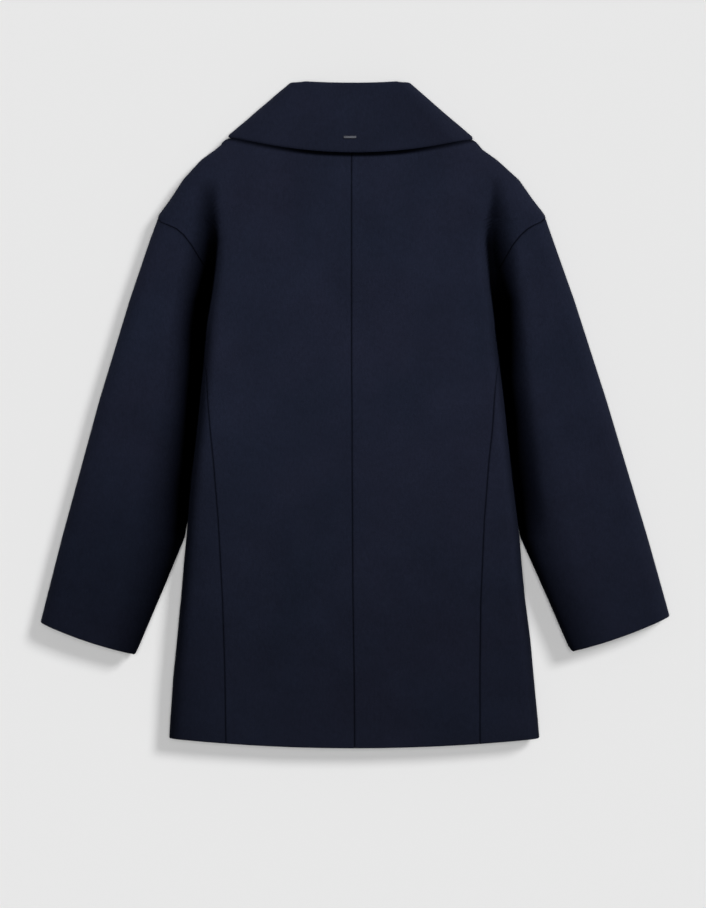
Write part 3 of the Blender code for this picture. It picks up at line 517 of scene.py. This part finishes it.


# the brightness argument paints the same melton darker, as painted shade on the sleeves and collar
def wool(name, painted_brightness):
    """Brushed navy melton: matt, faintly heathered, its fibres felted over the weave."""
    material, nodes, links, surface = new_material(
        name, {"Sheen Roughness": 0.5, "Sheen Tint": (0.45, 0.55, 1.0, 1.0)})
    place = new_node(nodes, "TexCoord")

    def noise(scale, detail, low, high, stretch=(1.0, 1.0, 1.0)):
        """A random pattern between low and high, drawn out along the cloth by stretch."""
        shape = new_node(nodes, "Mapping", {"Scale": stretch})
        links.new(place.outputs["Object"], shape.inputs["Vector"])
        grain = new_node(nodes, "TexNoise", {"Scale": scale, "Detail": detail})
        links.new(shape.outputs["Vector"], grain.inputs["Vector"])
        limits = {"From Min": 0.3, "From Max": 0.7, "To Min": low, "To Max": high}
        spread_out = new_node(nodes, "MapRange", limits)
        links.new(grain.outputs["Fac"], spread_out.inputs["Value"])
        return spread_out.outputs["Result"]

    # painted shade: the cloth is painted a little darker from the shoulders to the hem
    parts = new_node(nodes, "SeparateXYZ")
    links.new(place.outputs["Object"], parts.inputs["Vector"])
    length = new_node(nodes, "MapRange", {"From Min": -0.42, "From Max": 0.12,
                                          "To Min": 0.62 * painted_brightness, "To Max": painted_brightness})
    length.interpolation_type = "SMOOTHSTEP"
    links.new(parts.outputs["Y"], length.inputs["Value"])
    # painted shade: the fold_shade attribute holds the shade painted into the fold, under the collar,
    # along the left side and along the seams
    fold = new_node(nodes, "Attribute")
    fold.attribute_name = "fold_shade"
    # the painted shade also dims the gloss and sheen there
    for socket, strength in (("Specular IOR Level", 0.05), ("Sheen Weight", 0.03)):
        shaded_gloss = new_node(nodes, "Math", {1: strength})
        shaded_gloss.operation = "MULTIPLY"
        links.new(fold.outputs["Fac"], shaded_gloss.inputs[0])
        links.new(shaded_gloss.outputs["Value"], surface.inputs[socket])
    # painted shade from the fold_shade attribute darkens the dye, and broad clouds, single fibres
    # and strands along the cloth's length vary it
    cloud = noise(16.0, 3.0, 0.90, 1.10)
    fleck = noise(1300.0, 2.0, 0.80, 1.20)
    strand = noise(420.0, 3.0, 0.90, 1.10, (1.0, 0.35, 1.0))
    amount = length.outputs["Result"]
    for factor in (fold.outputs["Fac"], cloud, fleck, strand):
        product = new_node(nodes, "Math")
        product.operation = "MULTIPLY"
        links.new(amount, product.inputs[0])
        links.new(factor, product.inputs[1])
        amount = product.outputs["Value"]
    # two close navies in soft patches; 6 and 7 are the mix's colour sockets
    tint = new_node(nodes, "Mix", {6: (0.0100, 0.0130, 0.0259, 1.0),
                                   7: (0.0108, 0.0127, 0.0252, 1.0)})
    tint.data_type = "RGBA"
    links.new(noise(9.0, 2.0, 0.0, 1.0), tint.inputs["Factor"])
    dye_and_shade = new_node(nodes, "VectorMath")
    dye_and_shade.operation = "SCALE"
    links.new(tint.outputs[2], dye_and_shade.inputs[0])
    links.new(amount, dye_and_shade.inputs["Scale"])
    links.new(dye_and_shade.outputs["Vector"], surface.inputs["Base Color"])
    links.new(noise(700.0, 2.0, 0.84, 1.0), surface.inputs["Roughness"])
    # fine brushed fibres over a coarser felted unevenness
    nap = new_node(nodes, "Bump", {"Strength": 0.5, "Distance": 0.0003})
    links.new(noise(850.0, 3.0, 0.0, 1.0), nap.inputs["Height"])
    felt = new_node(nodes, "Bump", {"Strength": 0.35, "Distance": 0.0008})
    links.new(noise(120.0, 3.0, 0.0, 1.0), felt.inputs["Height"])
    links.new(nap.outputs["Normal"], felt.inputs["Normal"])
    links.new(felt.outputs["Normal"], surface.inputs["Normal"])
    return material


def put_on(piece, node):
    """The piece stands for its CAD node, which is hidden, and hangs from the root."""
    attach(piece, "root")
    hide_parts(node)


body_wool = wool("body_melton", 1.0)
# rows close together at the hem, where the turned edge rounds over, and under the collar's edge
HEM_ROWS = [HEM_Y + step for step in (6.5, 4.2, 2.6, 1.5, 0.8, 0.3, 0.0)]
SHOULDER_ROWS = [366.0, 360.5, 357.5, 353.5, 350.0, 344.0]
ARMHOLE_ROWS = [259.0, 255.2, 250.0, 246.0, 241.0, 233.0, 220.0, 205.0]
back_heights = spread([NECK_Y, 366.0], 4.5)[:-1] + spread(SHOULDER_ROWS + [332.0], 0.9)[:-1]
back_heights += spread([332.0, FOLD_START_Y + 0.1, FOLD_START_Y - 0.1] + ARMHOLE_ROWS
                       + [CREVICE_Y + 0.1, CREVICE_Y - 0.1, UNDERARM_Y + 0.1, UNDERARM_Y - 0.2,
                          SIDE_SEAM_Y, HEM_Y + 9.0], 4.5) + HEM_ROWS
for side in ("left", "right"):
    piece = body_panel("back_" + side + "_cloth", side, back_heights, back_section, 46,
                       neck_and_hem_bend, UPPER_CREASES, body_wool)
    put_on(piece, "back_" + side)

# ---------------------------------------------------------------------------------------------
# Side panels, left and right. Narrow panels of the same melton between the side-back and
# side-front seams, folded round the coat's sides so that they show a strip beside each hem.
side_heights = spread([UNDERARM_Y - 0.6, SIDE_SEAM_Y, HEM_Y + 9.0], 4.5) + HEM_ROWS


def side_section(side, y):
    """The ring, and where on it the side panel starts and ends."""
    ring = body_ring(side, y)
    return ring, side_back_seam(side, y, ring), distance_to(ring, FRONT_SEAM_X, False)


for side in ("left", "right"):
    piece = body_panel("side_" + side + "_cloth", side, side_heights, side_section, 24, hem_bend,
                       UPPER_CREASES, body_wool)
    put_on(piece, "side_" + side)

# ---------------------------------------------------------------------------------------------
# Fronts, left and right. The coat lies on them: double-breasted, the right front lapping over
# the left, cut back above the lowest lapel point along the roll line.
OVERLAP = 70.0
OVERLAP_STEP = 3.3  # the left front lies this much higher, over the right one
BREAK_Y = 120.0
LOWER_CREASES = np.array([
    (-330.0, -140.0, -262.0, -96.0, 11.0, 0.8), (-300.0, 70.0, -246.0, 104.0, 9.0, 0.5),
    (-376.0, -220.0, -312.0, -236.0, 9.0, 0.6), (266.0, -100.0, 340.0, -140.0, 11.0, 0.8),
    (250.0, 90.0, 300.0, 54.0, 9.0, 0.5), (310.0, -228.0, 380.0, -210.0, 9.0, 0.5),
    (-140.0, -430.0, -126.0, -250.0, 16.0, 0.9), (138.0, -430.0, 120.0, -230.0, 16.0, 0.8),
    (-140.0, 60.0, -70.0, 96.0, 14.0, 0.6), (132.0, 40.0, 70.0, 92.0, 14.0, 0.6),
    (-96.0, -60.0, -30.0, -92.0, 16.0, 0.5), (40.0, -180.0, 104.0, -150.0, 16.0, 0.5),
    (-150.0, 220.0, -96.0, 250.0, 10.0, 0.5), (150.0, 216.0, 98.0, 252.0, 10.0, 0.5)])


def front_section(side, y):
    """The front's section from its outer seam to its free edge."""
    rise = min(max((y - BREAK_Y) / (NECK_Y - BREAK_Y), 0.0), 1.0)
    inner = -OVERLAP + (OVERLAP + NECK_HALF) * rise
    outer = FRONT_SEAM_X
    if y > UNDERARM_Y:
        outer = outline_at(side, y) if y > SHOULDER_TIP_Y else armhole_at(side, y)
    points = []
    for t in np.linspace(0.0, 1.0, 160):
        x = outer - (outer - inner) * (1.0 - math.cos(t * math.pi / 2))
        height = lower_height(side, x, y) if y > UNDERARM_Y else front_lift(x, y)
        if side == "left":
            near_middle = smooth((OVERLAP + 34.0 - x) / 18.0)
            height += OVERLAP_STEP * near_middle * smooth((FOLD_START_Y - y) / 40.0)
        points.append((x, height))
    return np.array(points), 0.0, None


front_heights = spread([NECK_Y] + SHOULDER_ROWS + ARMHOLE_ROWS + [CREVICE_Y, UNDERARM_Y + 0.1,
                       UNDERARM_Y - 0.1, HEM_Y + 9.0], 6.0) + HEM_ROWS
for side in ("left", "right"):
    piece = body_panel("front_" + side + "_cloth", side, front_heights, front_section, 36, hem_bend,
                       LOWER_CREASES, body_wool)
    put_on(piece, "front_" + side)

# ---------------------------------------------------------------------------------------------
# Sleeves. Each is set into its armhole and sewn from a back and a front half of melton, so it
# lies as a flattened tube: round at its outer edge, pressed thin under the body, open at the cuff.
SLEEVE_CLOTH = 2.5
SLEEVE_LENGTH = 540.0
SLEEVE_WIDTH = 120.0
CUFF_BOW = 16.0
SEAM_SHIFT = (0.7, -0.5)  # the sleeve's top edge lies this far in from the armhole line
CUFFS = {"left": ((-409.5, -270.0), (-286.0, -311.5)), "right": ((409.5, -262.0), (282.1, -307.5))}
ARMHOLE_STOPS = (255.2, 250, 246, 241, 233, 220, 205, 192.5, 178, 160, 130, 95.2)
# painted shade: the sleeves are the same melton, painted a little darker
sleeve_wool = wool("sleeve_melton", 0.97)


def along_path(path, share):
    """The point at this share of a path's length."""
    steps = distances(path)
    return np.array([np.interp(share * steps[-1], steps, path[:, k]) for k in (0, 1)])


def sleeve_plan(side):
    """The sleeve seen from above: u from its outer to its inner edge, v from armhole to cuff."""
    sign = sign_of(side)
    top = np.array([(sign * outline_at(side, SHOULDER_TIP_Y), SHOULDER_TIP_Y)]
                   + [(sign * armhole_at(side, y), y) for y in ARMHOLE_STOPS[1:]])
    outer_corner, inner_corner = (np.array(corner) for corner in CUFFS[side])
    outer = np.array([(sign * outline_at(side, y), y)
                      for y in np.linspace(SHOULDER_TIP_Y, outer_corner[1], 60)])
    outer[-1] = outer_corner
    inner = np.array([(sign * sleeve_inner_at(side, y), y)
                      for y in np.linspace(UNDERARM_Y, inner_corner[1], 60)])
    inner[0], inner[-1] = top[-1], inner_corner
    spans = distances(top) / distances(top)[-1]
    stops = 0.5 - 0.5 * np.cos(math.pi * np.linspace(0.0, 1.0, len(ARMHOLE_STOPS)))

    def place(u, v):
        cuff = outer_corner + u * (inner_corner - outer_corner)
        cuff[1] -= CUFF_BOW * u * (1.0 - u)
        corners = ((1 - u) * (1 - v) * top[0] + u * (1 - v) * top[-1]
                   + (1 - u) * v * outer_corner + u * v * inner_corner)
        point = ((1 - v) * along_path(top, float(np.interp(u, stops, spans))) + v * cuff
                 + (1 - u) * along_path(outer, v) + u * along_path(inner, v) - corners)
        near_seam = max(0.0, 1.0 - v / 0.05)
        return point - np.array([sign * SEAM_SHIFT[0], SEAM_SHIFT[1]]) * near_seam
    return place


def surface_normal(height_of, side, x, y):
    """The direction square to the upper or lower surface at a place."""
    reach = 0.4
    across = height_of(side, x + reach, y) - height_of(side, x - reach, y)
    up = height_of(side, x, y + reach) - height_of(side, x, y - reach)
    normal = np.array([-across / (2 * reach), -up / (2 * reach), 1.0])
    return normal / np.linalg.norm(normal)


def sleeve_half(name, side, upper, creases):
    """The back (upper) or front half of a sleeve, rolled down at the armhole seam and the cuff."""
    plan = sleeve_plan(side)
    height_of = upper_height if upper else lower_height
    facing = 1.0 if upper else -1.0
    across = 0.5 - 0.5 * np.cos(math.pi * np.linspace(0.0, 1.0, 60))
    near = np.array([0.0, 0.4, 0.8, 1.3, 2.0, 3.2, 5.0]) / SLEEVE_LENGTH
    down = np.concatenate([near, np.linspace(7.5 / SLEEVE_LENGTH, 1 - 9 / SLEEVE_LENGTH, 110),
                           1 - np.array([6.0, 4.0, 2.4, 1.4, 0.7, 0.25, 0.0]) / SLEEVE_LENGTH])
    outer, inner, shades = [], [], []
    for v in down:
        to_seam, to_cuff = v * SLEEVE_LENGTH, (1.0 - v) * SLEEVE_LENGTH
        # painted shade along the armhole seam's groove
        line = 1.0 - 0.85 * math.exp(-(to_seam / 1.7) ** 2)
        outer_row, inner_row, shade_row = [], [], []
        for u in across:
            x, y = plan(u, v)
            if abs(x) > outline_at(side, y):
                x = sign_of(side) * outline_at(side, y)
            here = np.array([x, y, height_of(side, x, y)])
            normal = facing * surface_normal(height_of, side, x, y)
            if u == 0.0:
                normal = np.array([sign_of(side), 0.0, 0.0])
                here[2] = MID_HEIGHT - SEAM_PRESS * facing
            if u == 1.0 and y < UNDERARM_Y - 12.0:
                normal = np.array([-sign_of(side), 0.0, 0.0])
                here[2] -= SEAM_PRESS * facing
            outer_row.append(here)
            inner_row.append(here - SLEEVE_CLOTH * normal)
            # painted shade in the fold, on the sleeve's back half only
            shade_row.append(fold_shade(side, x, y) * line if upper else 1.0)
        here = np.array(outer_row)
        normals = (here - np.array(inner_row)) / SLEEVE_CLOTH
        edge = np.minimum(across, 1.0 - across) * SLEEVE_WIDTH
        press = seam_dip(to_seam) + max(0.0, 1.0 - to_cuff / 1.6) ** 1.6
        press = press + crease_depth(creases, here[:, 0], here[:, 1]) * np.clip(edge / 14.0, 0.0, 1.0)
        press = press + cloth_waves(here[:, 0] + 90.0, here[:, 1]) * np.clip(edge / 8.0, 0.0, 1.0)
        here = here - press[:, None] * normals
        here[:, 2] = np.maximum(here[:, 2], 0.0)
        outer.append(here)
        inner.append(inner_row)
        shades.append(shade_row)
    return make_wall(name, np.array(outer), np.array(inner), sleeve_wool,
                     upper == (side == "left"), np.array(shades))


for side in ("left", "right"):
    piece = sleeve_half("sleeve_back_" + side + "_cloth", side, True, UPPER_CREASES)
    put_on(piece, "sleeve_back_" + side)
    piece = sleeve_half("sleeve_front_" + side + "_cloth", side, False, LOWER_CREASES)
    put_on(piece, "sleeve_front_" + side)

# ---------------------------------------------------------------------------------------------
# Collar. A wide turned-down fall of two plies of melton, rolled over at the neck and lying on
# the back, with its leaves folded round to the front; a narrow stand joins it to the neckline.
COLLAR_CLOTH = 4.0
STAND_CLOTH = 2.6
ROLL_RADIUS = 6.0
FALL_DEPTH = 90.0
FALL_END_DEPTH = 120.0
# the roll at the neck and the fall's lower edge run round flattened ovals: half width, where the
# front end lies, top height, and for the roll y at the middle of the back, the side and the end
ROLL_HALF = {"left": 85.7, "right": 72.7}
ROLL_END_X = 62.0
ROLL_TOP = 33.0
ROLL_Y = (425.0, 430.0, 366.0)
EDGE_END_X = 118.0
EDGE_END_Y = 338.0
EDGE_TOP = 36.2
STAND_END_X = 61.0
STAND_TOP = 28.0
# painted shade: the collar is the same melton, painted darker
collar_wool = wool("collar_melton", 0.90)


def oval_point(half_width, end_x, top, bottom, share):
    """(across, height) on a flattened oval: middle of the back, side at 0.5, front end at 1."""
    flat = 0.8 * half_width
    if share < 0.4:
        return flat * share / 0.4, top
    if share > 0.6:
        return flat + (end_x - flat) * (share - 0.6) / 0.4, bottom
    angle = (share - 0.4) / 0.2 * math.pi
    middle, half = (top + bottom) / 2, (top - bottom) / 2
    return flat + (half_width - flat) * math.sin(angle), middle + half * math.cos(angle)


def up_the_oval(values, share, across, half_width):
    """The y of a point on an oval, from its values at the middle, side and front end."""
    middle, at_side, end = values
    if share <= 0.5:
        return middle + (at_side - middle) * (across / half_width) ** 2
    return at_side + (end - at_side) * smooth((share - 0.5) / 0.5)


def roll_point(side, share):
    """A point on the roll at the neck; share runs from the middle of the back to the front."""
    half = ROLL_HALF[side]
    across, z = oval_point(half, ROLL_END_X, ROLL_TOP, 0.0, share)
    return np.array([sign_of(side) * across, up_the_oval(ROLL_Y, share, across, half), z])


def fall_edge_point(side, share):
    """A point on the fall's lower edge."""
    half, rise = COLLAR_EDGE[side]
    across, z = oval_point(half, EDGE_END_X, EDGE_TOP, 0.0, share)
    edge_y = (COLLAR_EDGE_Y, COLLAR_EDGE_Y + rise, EDGE_END_Y)
    return np.array([sign_of(side) * across, up_the_oval(edge_y, share, across, half), z])


def fall_point(side, share, down):
    return roll_point(side, share) * (1.0 - down) + fall_edge_point(side, share) * down


def fall_normal(side, share, down):
    before, after = max(share - 0.01, 0.0), min(share + 0.01, 1.0)
    around = fall_point(side, after, down) - fall_point(side, before, down)
    normal = np.cross(fall_edge_point(side, share) - roll_point(side, share), around) * sign_of(side)
    return normal / np.linalg.norm(normal)


def round_the_neck(steps):
    """Places round the collar from its left front end to its right one."""
    return [("left", share) for share in steps[::-1]] + [("right", share) for share in steps[1:]]


collar_steps = np.concatenate([np.linspace(0.0, 0.36, 30), np.linspace(0.37, 0.63, 28),
                               np.linspace(0.65, 0.97, 16), [0.98, 0.99, 0.996, 1.0]])
around_neck = round_the_neck(collar_steps)
outer, inner = [], []
for turn in np.linspace(0.0, 80.0, 9):
    outer_row, inner_row = [], []
    for side, share in around_neck:
        start = roll_point(side, share)
        normal = fall_normal(side, share, 0.0)
        away = start - fall_edge_point(side, share)
        away /= np.linalg.norm(away)
        centre = start - ROLL_RADIUS * normal
        spoke = normal * math.sin(math.radians(turn)) + away * math.cos(math.radians(turn))
        outer_row.append(centre + ROLL_RADIUS * spoke)
        inner_row.append(centre + (ROLL_RADIUS - COLLAR_CLOTH) * spoke)
    outer.append(outer_row)
    inner.append(inner_row)
edge_gaps = np.array([6.0, 4.0, 2.6, 1.5, 0.8, 0.3, 0.0]) / FALL_DEPTH
for down in np.concatenate([np.linspace(0.0, 0.9, 24), 1.0 - edge_gaps]):
    outer_row, inner_row = [], []
    for side, share in around_neck:
        here = fall_point(side, share, down)
        normal = fall_normal(side, share, down)
        to_edge = min((1.0 - down) * FALL_DEPTH, (1.0 - share) * FALL_END_DEPTH)
        press = 1.5 * max(0.0, 1.0 - to_edge / 2.6) ** 1.8
        press -= 0.2 * math.exp(-((to_edge - 5.0) / 3.0) ** 2)
        wave = float(cloth_waves(np.array([here[0] * 1.3]), np.array([here[1]]))[0])
        press += 0.8 * wave * min(1.0, to_edge / 15.0) * min(1.0, down / 0.2)
        moved = here - press * normal
        moved[2] = max(moved[2], 0.0)
        outer_row.append(moved)
        under = here - COLLAR_CLOTH * normal + 0.8 * normal * max(0.0, 1.0 - to_edge / 2.0) ** 2
        inner_row.append(under)
    outer.append(outer_row)
    inner.append(inner_row)
outer, inner = np.array(outer), np.array(inner)
piece = make_wall("collar_fall_cloth", outer, inner, collar_wool, True, np.ones(outer.shape[:2]))
put_on(piece, "collar_fall")

stand_steps = collar_steps[collar_steps <= 0.9]
outer, inner = [], []
for rise in np.linspace(1.0, 0.0, 12):
    outer_row, inner_row = [], []
    for side, share in round_the_neck(stand_steps):
        normal = fall_normal(side, share, 0.0)
        high = roll_point(side, share) - (COLLAR_CLOTH + 0.4) * normal
        across, z = oval_point(outline_at(side, NECK_Y), STAND_END_X, STAND_TOP, FRONT_LIFT + 0.3,
                               share)
        level = NECK_Y - NECK_DIP * max(0.0, 1.0 - (across / NECK_HALF) ** 2) + 2.5
        level += (high[1] - 8.0 - level) * smooth((share - 0.5) / 0.2)
        point = np.array([sign_of(side) * across, level, z])
        point = point + (high - point) * rise
        outer_row.append(point)
        inner_row.append(point - STAND_CLOTH * normal)
    outer.append(outer_row)
    inner.append(inner_row)
outer, inner = np.array(outer), np.array(inner)
piece = make_wall("collar_stand_cloth", outer, inner, collar_wool, True, np.ones(outer.shape[:2]))
put_on(piece, "collar_stand")

# ---------------------------------------------------------------------------------------------
# Lapels, left and right. Two plies of melton turned back from the fronts along the roll line;
# in this lay they are pressed flat between the fronts and the table.
LAPEL_CLOTH = 3.9
LAPEL_TOP = (61.6, 360.0)
LAPEL_TIP = (138.0, 316.0)
# the right lapel runs down to the break; the left one stops where the right one lies over it
LAPEL_FEET = {"right": [(-69.0, 121.0)], "left": [(-24.0, 208.5), (-1.5, 245.5)]}


def flat_piece(name, corners, low, high, bevel, material, cuts):
    """A flat piece of cloth from its corners seen from above, with softened edges."""
    shape = bmesh.new()
    ring = [shape.verts.new((x * MM, y * MM, low * MM)) for x, y in corners]
    base = shape.faces.new(ring)
    raised = bmesh.ops.extrude_face_region(shape, geom=[base])
    top = [part for part in raised["geom"] if isinstance(part, bmesh.types.BMVert)]
    bmesh.ops.translate(shape, verts=top, vec=(0.0, 0.0, (high - low) * MM))
    bmesh.ops.recalc_face_normals(shape, faces=shape.faces)
    bmesh.ops.bevel(shape, geom=list(shape.edges), offset=bevel * MM, segments=4, profile=0.5,
                    affect="EDGES", clamp_overlap=True)
    if cuts:
        bmesh.ops.triangulate(shape, faces=shape.faces)
        for _ in range(cuts):
            long_edges = [edge for edge in shape.edges if edge.calc_length() > 8.0 * MM]
            bmesh.ops.subdivide_edges(shape, edges=long_edges, cuts=1)
            bmesh.ops.triangulate(shape, faces=shape.faces)
    mesh = bpy.data.meshes.new(name)
    shape.to_mesh(mesh)
    shape.free()
    return make_piece(name, mesh, material, np.ones(len(mesh.vertices)), 50)


for side in ("left", "right"):
    sign = sign_of(side)
    roll_top = (sign * LAPEL_TOP[0], LAPEL_TOP[1])
    tip = (sign * LAPEL_TIP[0], LAPEL_TIP[1])
    corners = LAPEL_FEET[side] + ([roll_top, tip] if side == "left" else [tip, roll_top])
    piece = flat_piece("lapel_" + side + "_cloth", corners, 0.0, LAPEL_CLOTH, 1.2, body_wool, 5)
    put_on(piece, "lapel_" + side)

# ---------------------------------------------------------------------------------------------
# Buttons, two columns of three. Turned dark discs with a raised rim and four holes, sewn
# through the right front; their faces lie on the table.
BUTTON_RADIUS = 13.5
BUTTON_X = 48.0
BUTTON_ROWS = (95.0, -5.0, -105.0)
HOLE_RADIUS = 1.0
HOLE_OFFSET = 2.2
button_finish, nodes, links, surface = new_material("button_resin", {"Specular IOR Level": 0.4})
place = new_node(nodes, "TexCoord")
marble = new_node(nodes, "TexNoise", {"Scale": 140.0, "Detail": 4.0, "Distortion": 1.5})
links.new(place.outputs["Object"], marble.inputs["Vector"])
streaks = new_node(nodes, "ValToRGB")
dark, light = streaks.color_ramp.elements
dark.position, dark.color = 0.35, (0.008, 0.009, 0.013, 1.0)
light.position, light.color = 0.7, (0.022, 0.021, 0.027, 1.0)
links.new(marble.outputs["Fac"], streaks.inputs["Fac"])
links.new(streaks.outputs["Color"], surface.inputs["Base Color"])
polish = new_node(nodes, "MapRange", {"To Min": 0.32, "To Max": 0.55})
links.new(marble.outputs["Fac"], polish.inputs["Value"])
links.new(polish.outputs["Result"], surface.inputs["Roughness"])

# a disc's half section: share of the radius, height above the table
profile = [(0.0, 0.8), (0.60, 0.8), (0.68, 0.5), (0.75, 0.1), (0.84, 0.0), (0.93, 0.1), (0.98, 0.5),
           (1.0, 1.1), (1.0, 2.4), (0.96, 3.0), (0.86, 3.6), (0.0, 3.7)]
for row, height in enumerate(BUTTON_ROWS, start=1):
    for side in ("left", "right"):
        name = "button_" + side + "_" + str(row)
        shape = bmesh.new()
        verts = [shape.verts.new((BUTTON_RADIUS * share * MM, 0.0, z * MM)) for share, z in profile]
        edges = [shape.edges.new(pair) for pair in zip(verts, verts[1:])]
        bmesh.ops.spin(shape, geom=verts + edges, cent=(0, 0, 0), axis=(0, 0, 1), angle=2 * math.pi,
                       steps=64, use_merge=True, use_duplicate=False)
        bmesh.ops.remove_doubles(shape, verts=shape.verts, dist=1e-6)
        bmesh.ops.recalc_face_normals(shape, faces=shape.faces)
        mesh = bpy.data.meshes.new(name + "_disc")
        shape.to_mesh(mesh)
        shape.free()
        mesh.materials.append(button_finish)
        piece = bpy.data.objects.new(name + "_disc", mesh)
        bpy.context.collection.objects.link(piece)
        piece.location = (sign_of(side) * BUTTON_X * MM, height * MM, 0.0)
        for across in (-HOLE_OFFSET, HOLE_OFFSET):
            for up in (-HOLE_OFFSET, HOLE_OFFSET):
                bpy.ops.mesh.primitive_cylinder_add(
                    vertices=16, radius=HOLE_RADIUS * MM, depth=12 * MM,
                    location=(piece.location.x + across * MM, piece.location.y + up * MM, 0.0))
                drill = bpy.context.object
                cut = piece.modifiers.new("hole", "BOOLEAN")
                cut.object = drill
                cut.solver = "EXACT"
                bpy.context.view_layer.objects.active = piece
                bpy.ops.object.modifier_apply(modifier=cut.name)
                bpy.data.objects.remove(drill, do_unlink=True)
        piece.data.shade_smooth()
        piece.data.set_sharp_from_angle(angle=math.radians(35))
        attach(piece, "root")
        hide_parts(name)

# ---------------------------------------------------------------------------------------------
# Collar bar. A small bare bar of brushed metal, fixed flat on the collar near the middle of
# its lower edge.
BAR_CORNERS = [(-14.8, 357.9), (1.8, 357.9), (1.8, 361.2), (-14.8, 361.2)]
BAR_BOTTOM = 35.92
BAR_TOP = 37.12
bar_finish, nodes, links, surface = new_material("brushed_metal", {"Metallic": 1.0})
place = new_node(nodes, "TexCoord")
stretch = new_node(nodes, "Mapping", {"Scale": (60.0, 2500.0, 2500.0)})
links.new(place.outputs["Object"], stretch.inputs["Vector"])
brushing = new_node(nodes, "TexNoise", {"Scale": 1.0, "Detail": 3.0})
links.new(stretch.outputs["Vector"], brushing.inputs["Vector"])
greys = new_node(nodes, "ValToRGB")
greys.color_ramp.elements[0].color = (0.032, 0.034, 0.040, 1.0)
greys.color_ramp.elements[1].color = (0.052, 0.054, 0.062, 1.0)
links.new(brushing.outputs["Fac"], greys.inputs["Fac"])
links.new(greys.outputs["Color"], surface.inputs["Base Color"])
dull = new_node(nodes, "MapRange", {"To Min": 0.35, "To Max": 0.6})
links.new(brushing.outputs["Fac"], dull.inputs["Value"])
links.new(dull.outputs["Result"], surface.inputs["Roughness"])
piece = flat_piece("collar_bar_metal", BAR_CORNERS, BAR_BOTTOM, BAR_TOP, 0.3, bar_finish, 0)
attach(piece, "root")
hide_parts("collar_bar")

# ---------------------------------------------------------------------------------------------
# Table, light and camera. A plain pale table, a broad soft light from the upper right and an
# even overhead fill, seen straight from above.
PHOTO_HEIGHT = 908 * 1.3  # pixels, then millimetres a pixel
PHOTO_MIDDLE = (-2.6, -51.35)
LENS = 200.0
SENSOR = 36.0
bpy.ops.mesh.primitive_plane_add(size=14.0, location=(0.0, 0.0, 0.0))
table_top = bpy.context.object
table_top.name = "table"
table_finish = new_material("pale_table", {"Base Color": (0.80, 0.80, 0.80, 1.0), "Roughness": 1.0,
                                           "Specular IOR Level": 0.0})[0]
table_top.data.materials.append(table_finish)

# each sun: its name, strength, breadth in degrees and where it shines to
SUNS = [("key", 1.68, 17.0, (-21.0, -16.0, -24.0)), ("overhead", 1.78, 22.0, (0.0, 0.0, -1.0))]
for name, power, breadth, towards in SUNS:
    lamp = bpy.data.objects.new(name, bpy.data.lights.new(name, "SUN"))
    lamp.data.energy = power
    lamp.data.angle = math.radians(breadth)
    lamp.rotation_mode = "QUATERNION"
    lamp.rotation_quaternion = Vector(towards).to_track_quat("-Z", "Y")
    bpy.context.collection.objects.link(lamp)

world = bpy.data.worlds.new("studio")
bpy.context.scene.world = world
world.use_nodes = True
nodes, links = world.node_tree.nodes, world.node_tree.links
direction = new_node(nodes, "TexCoord")
parts = new_node(nodes, "SeparateXYZ")
links.new(direction.outputs["Generated"], parts.inputs["Vector"])
walls = new_node(nodes, "MapRange", {"From Min": 0.02, "From Max": 0.22,
                                     "To Min": 0.75, "To Max": 0.07})
walls.interpolation_type = "SMOOTHSTEP"
links.new(parts.outputs["Z"], walls.inputs["Value"])
links.new(walls.outputs["Result"], nodes["Background"].inputs["Strength"])
nodes["Background"].inputs["Color"].default_value = (1.0, 1.0, 1.0, 1.0)

bpy.context.scene.view_settings.view_transform = "Standard"
camera = bpy.data.objects.new("camera", bpy.data.cameras.new("camera"))
camera.data.lens = LENS
camera.data.sensor_width = SENSOR
camera.data.clip_end = 50.0
camera.location = (PHOTO_MIDDLE[0] * MM, PHOTO_MIDDLE[1] * MM,
                   (MID_HEIGHT + LENS * PHOTO_HEIGHT / SENSOR) * MM)
bpy.context.collection.objects.link(camera)
bpy.context.scene.camera = camera
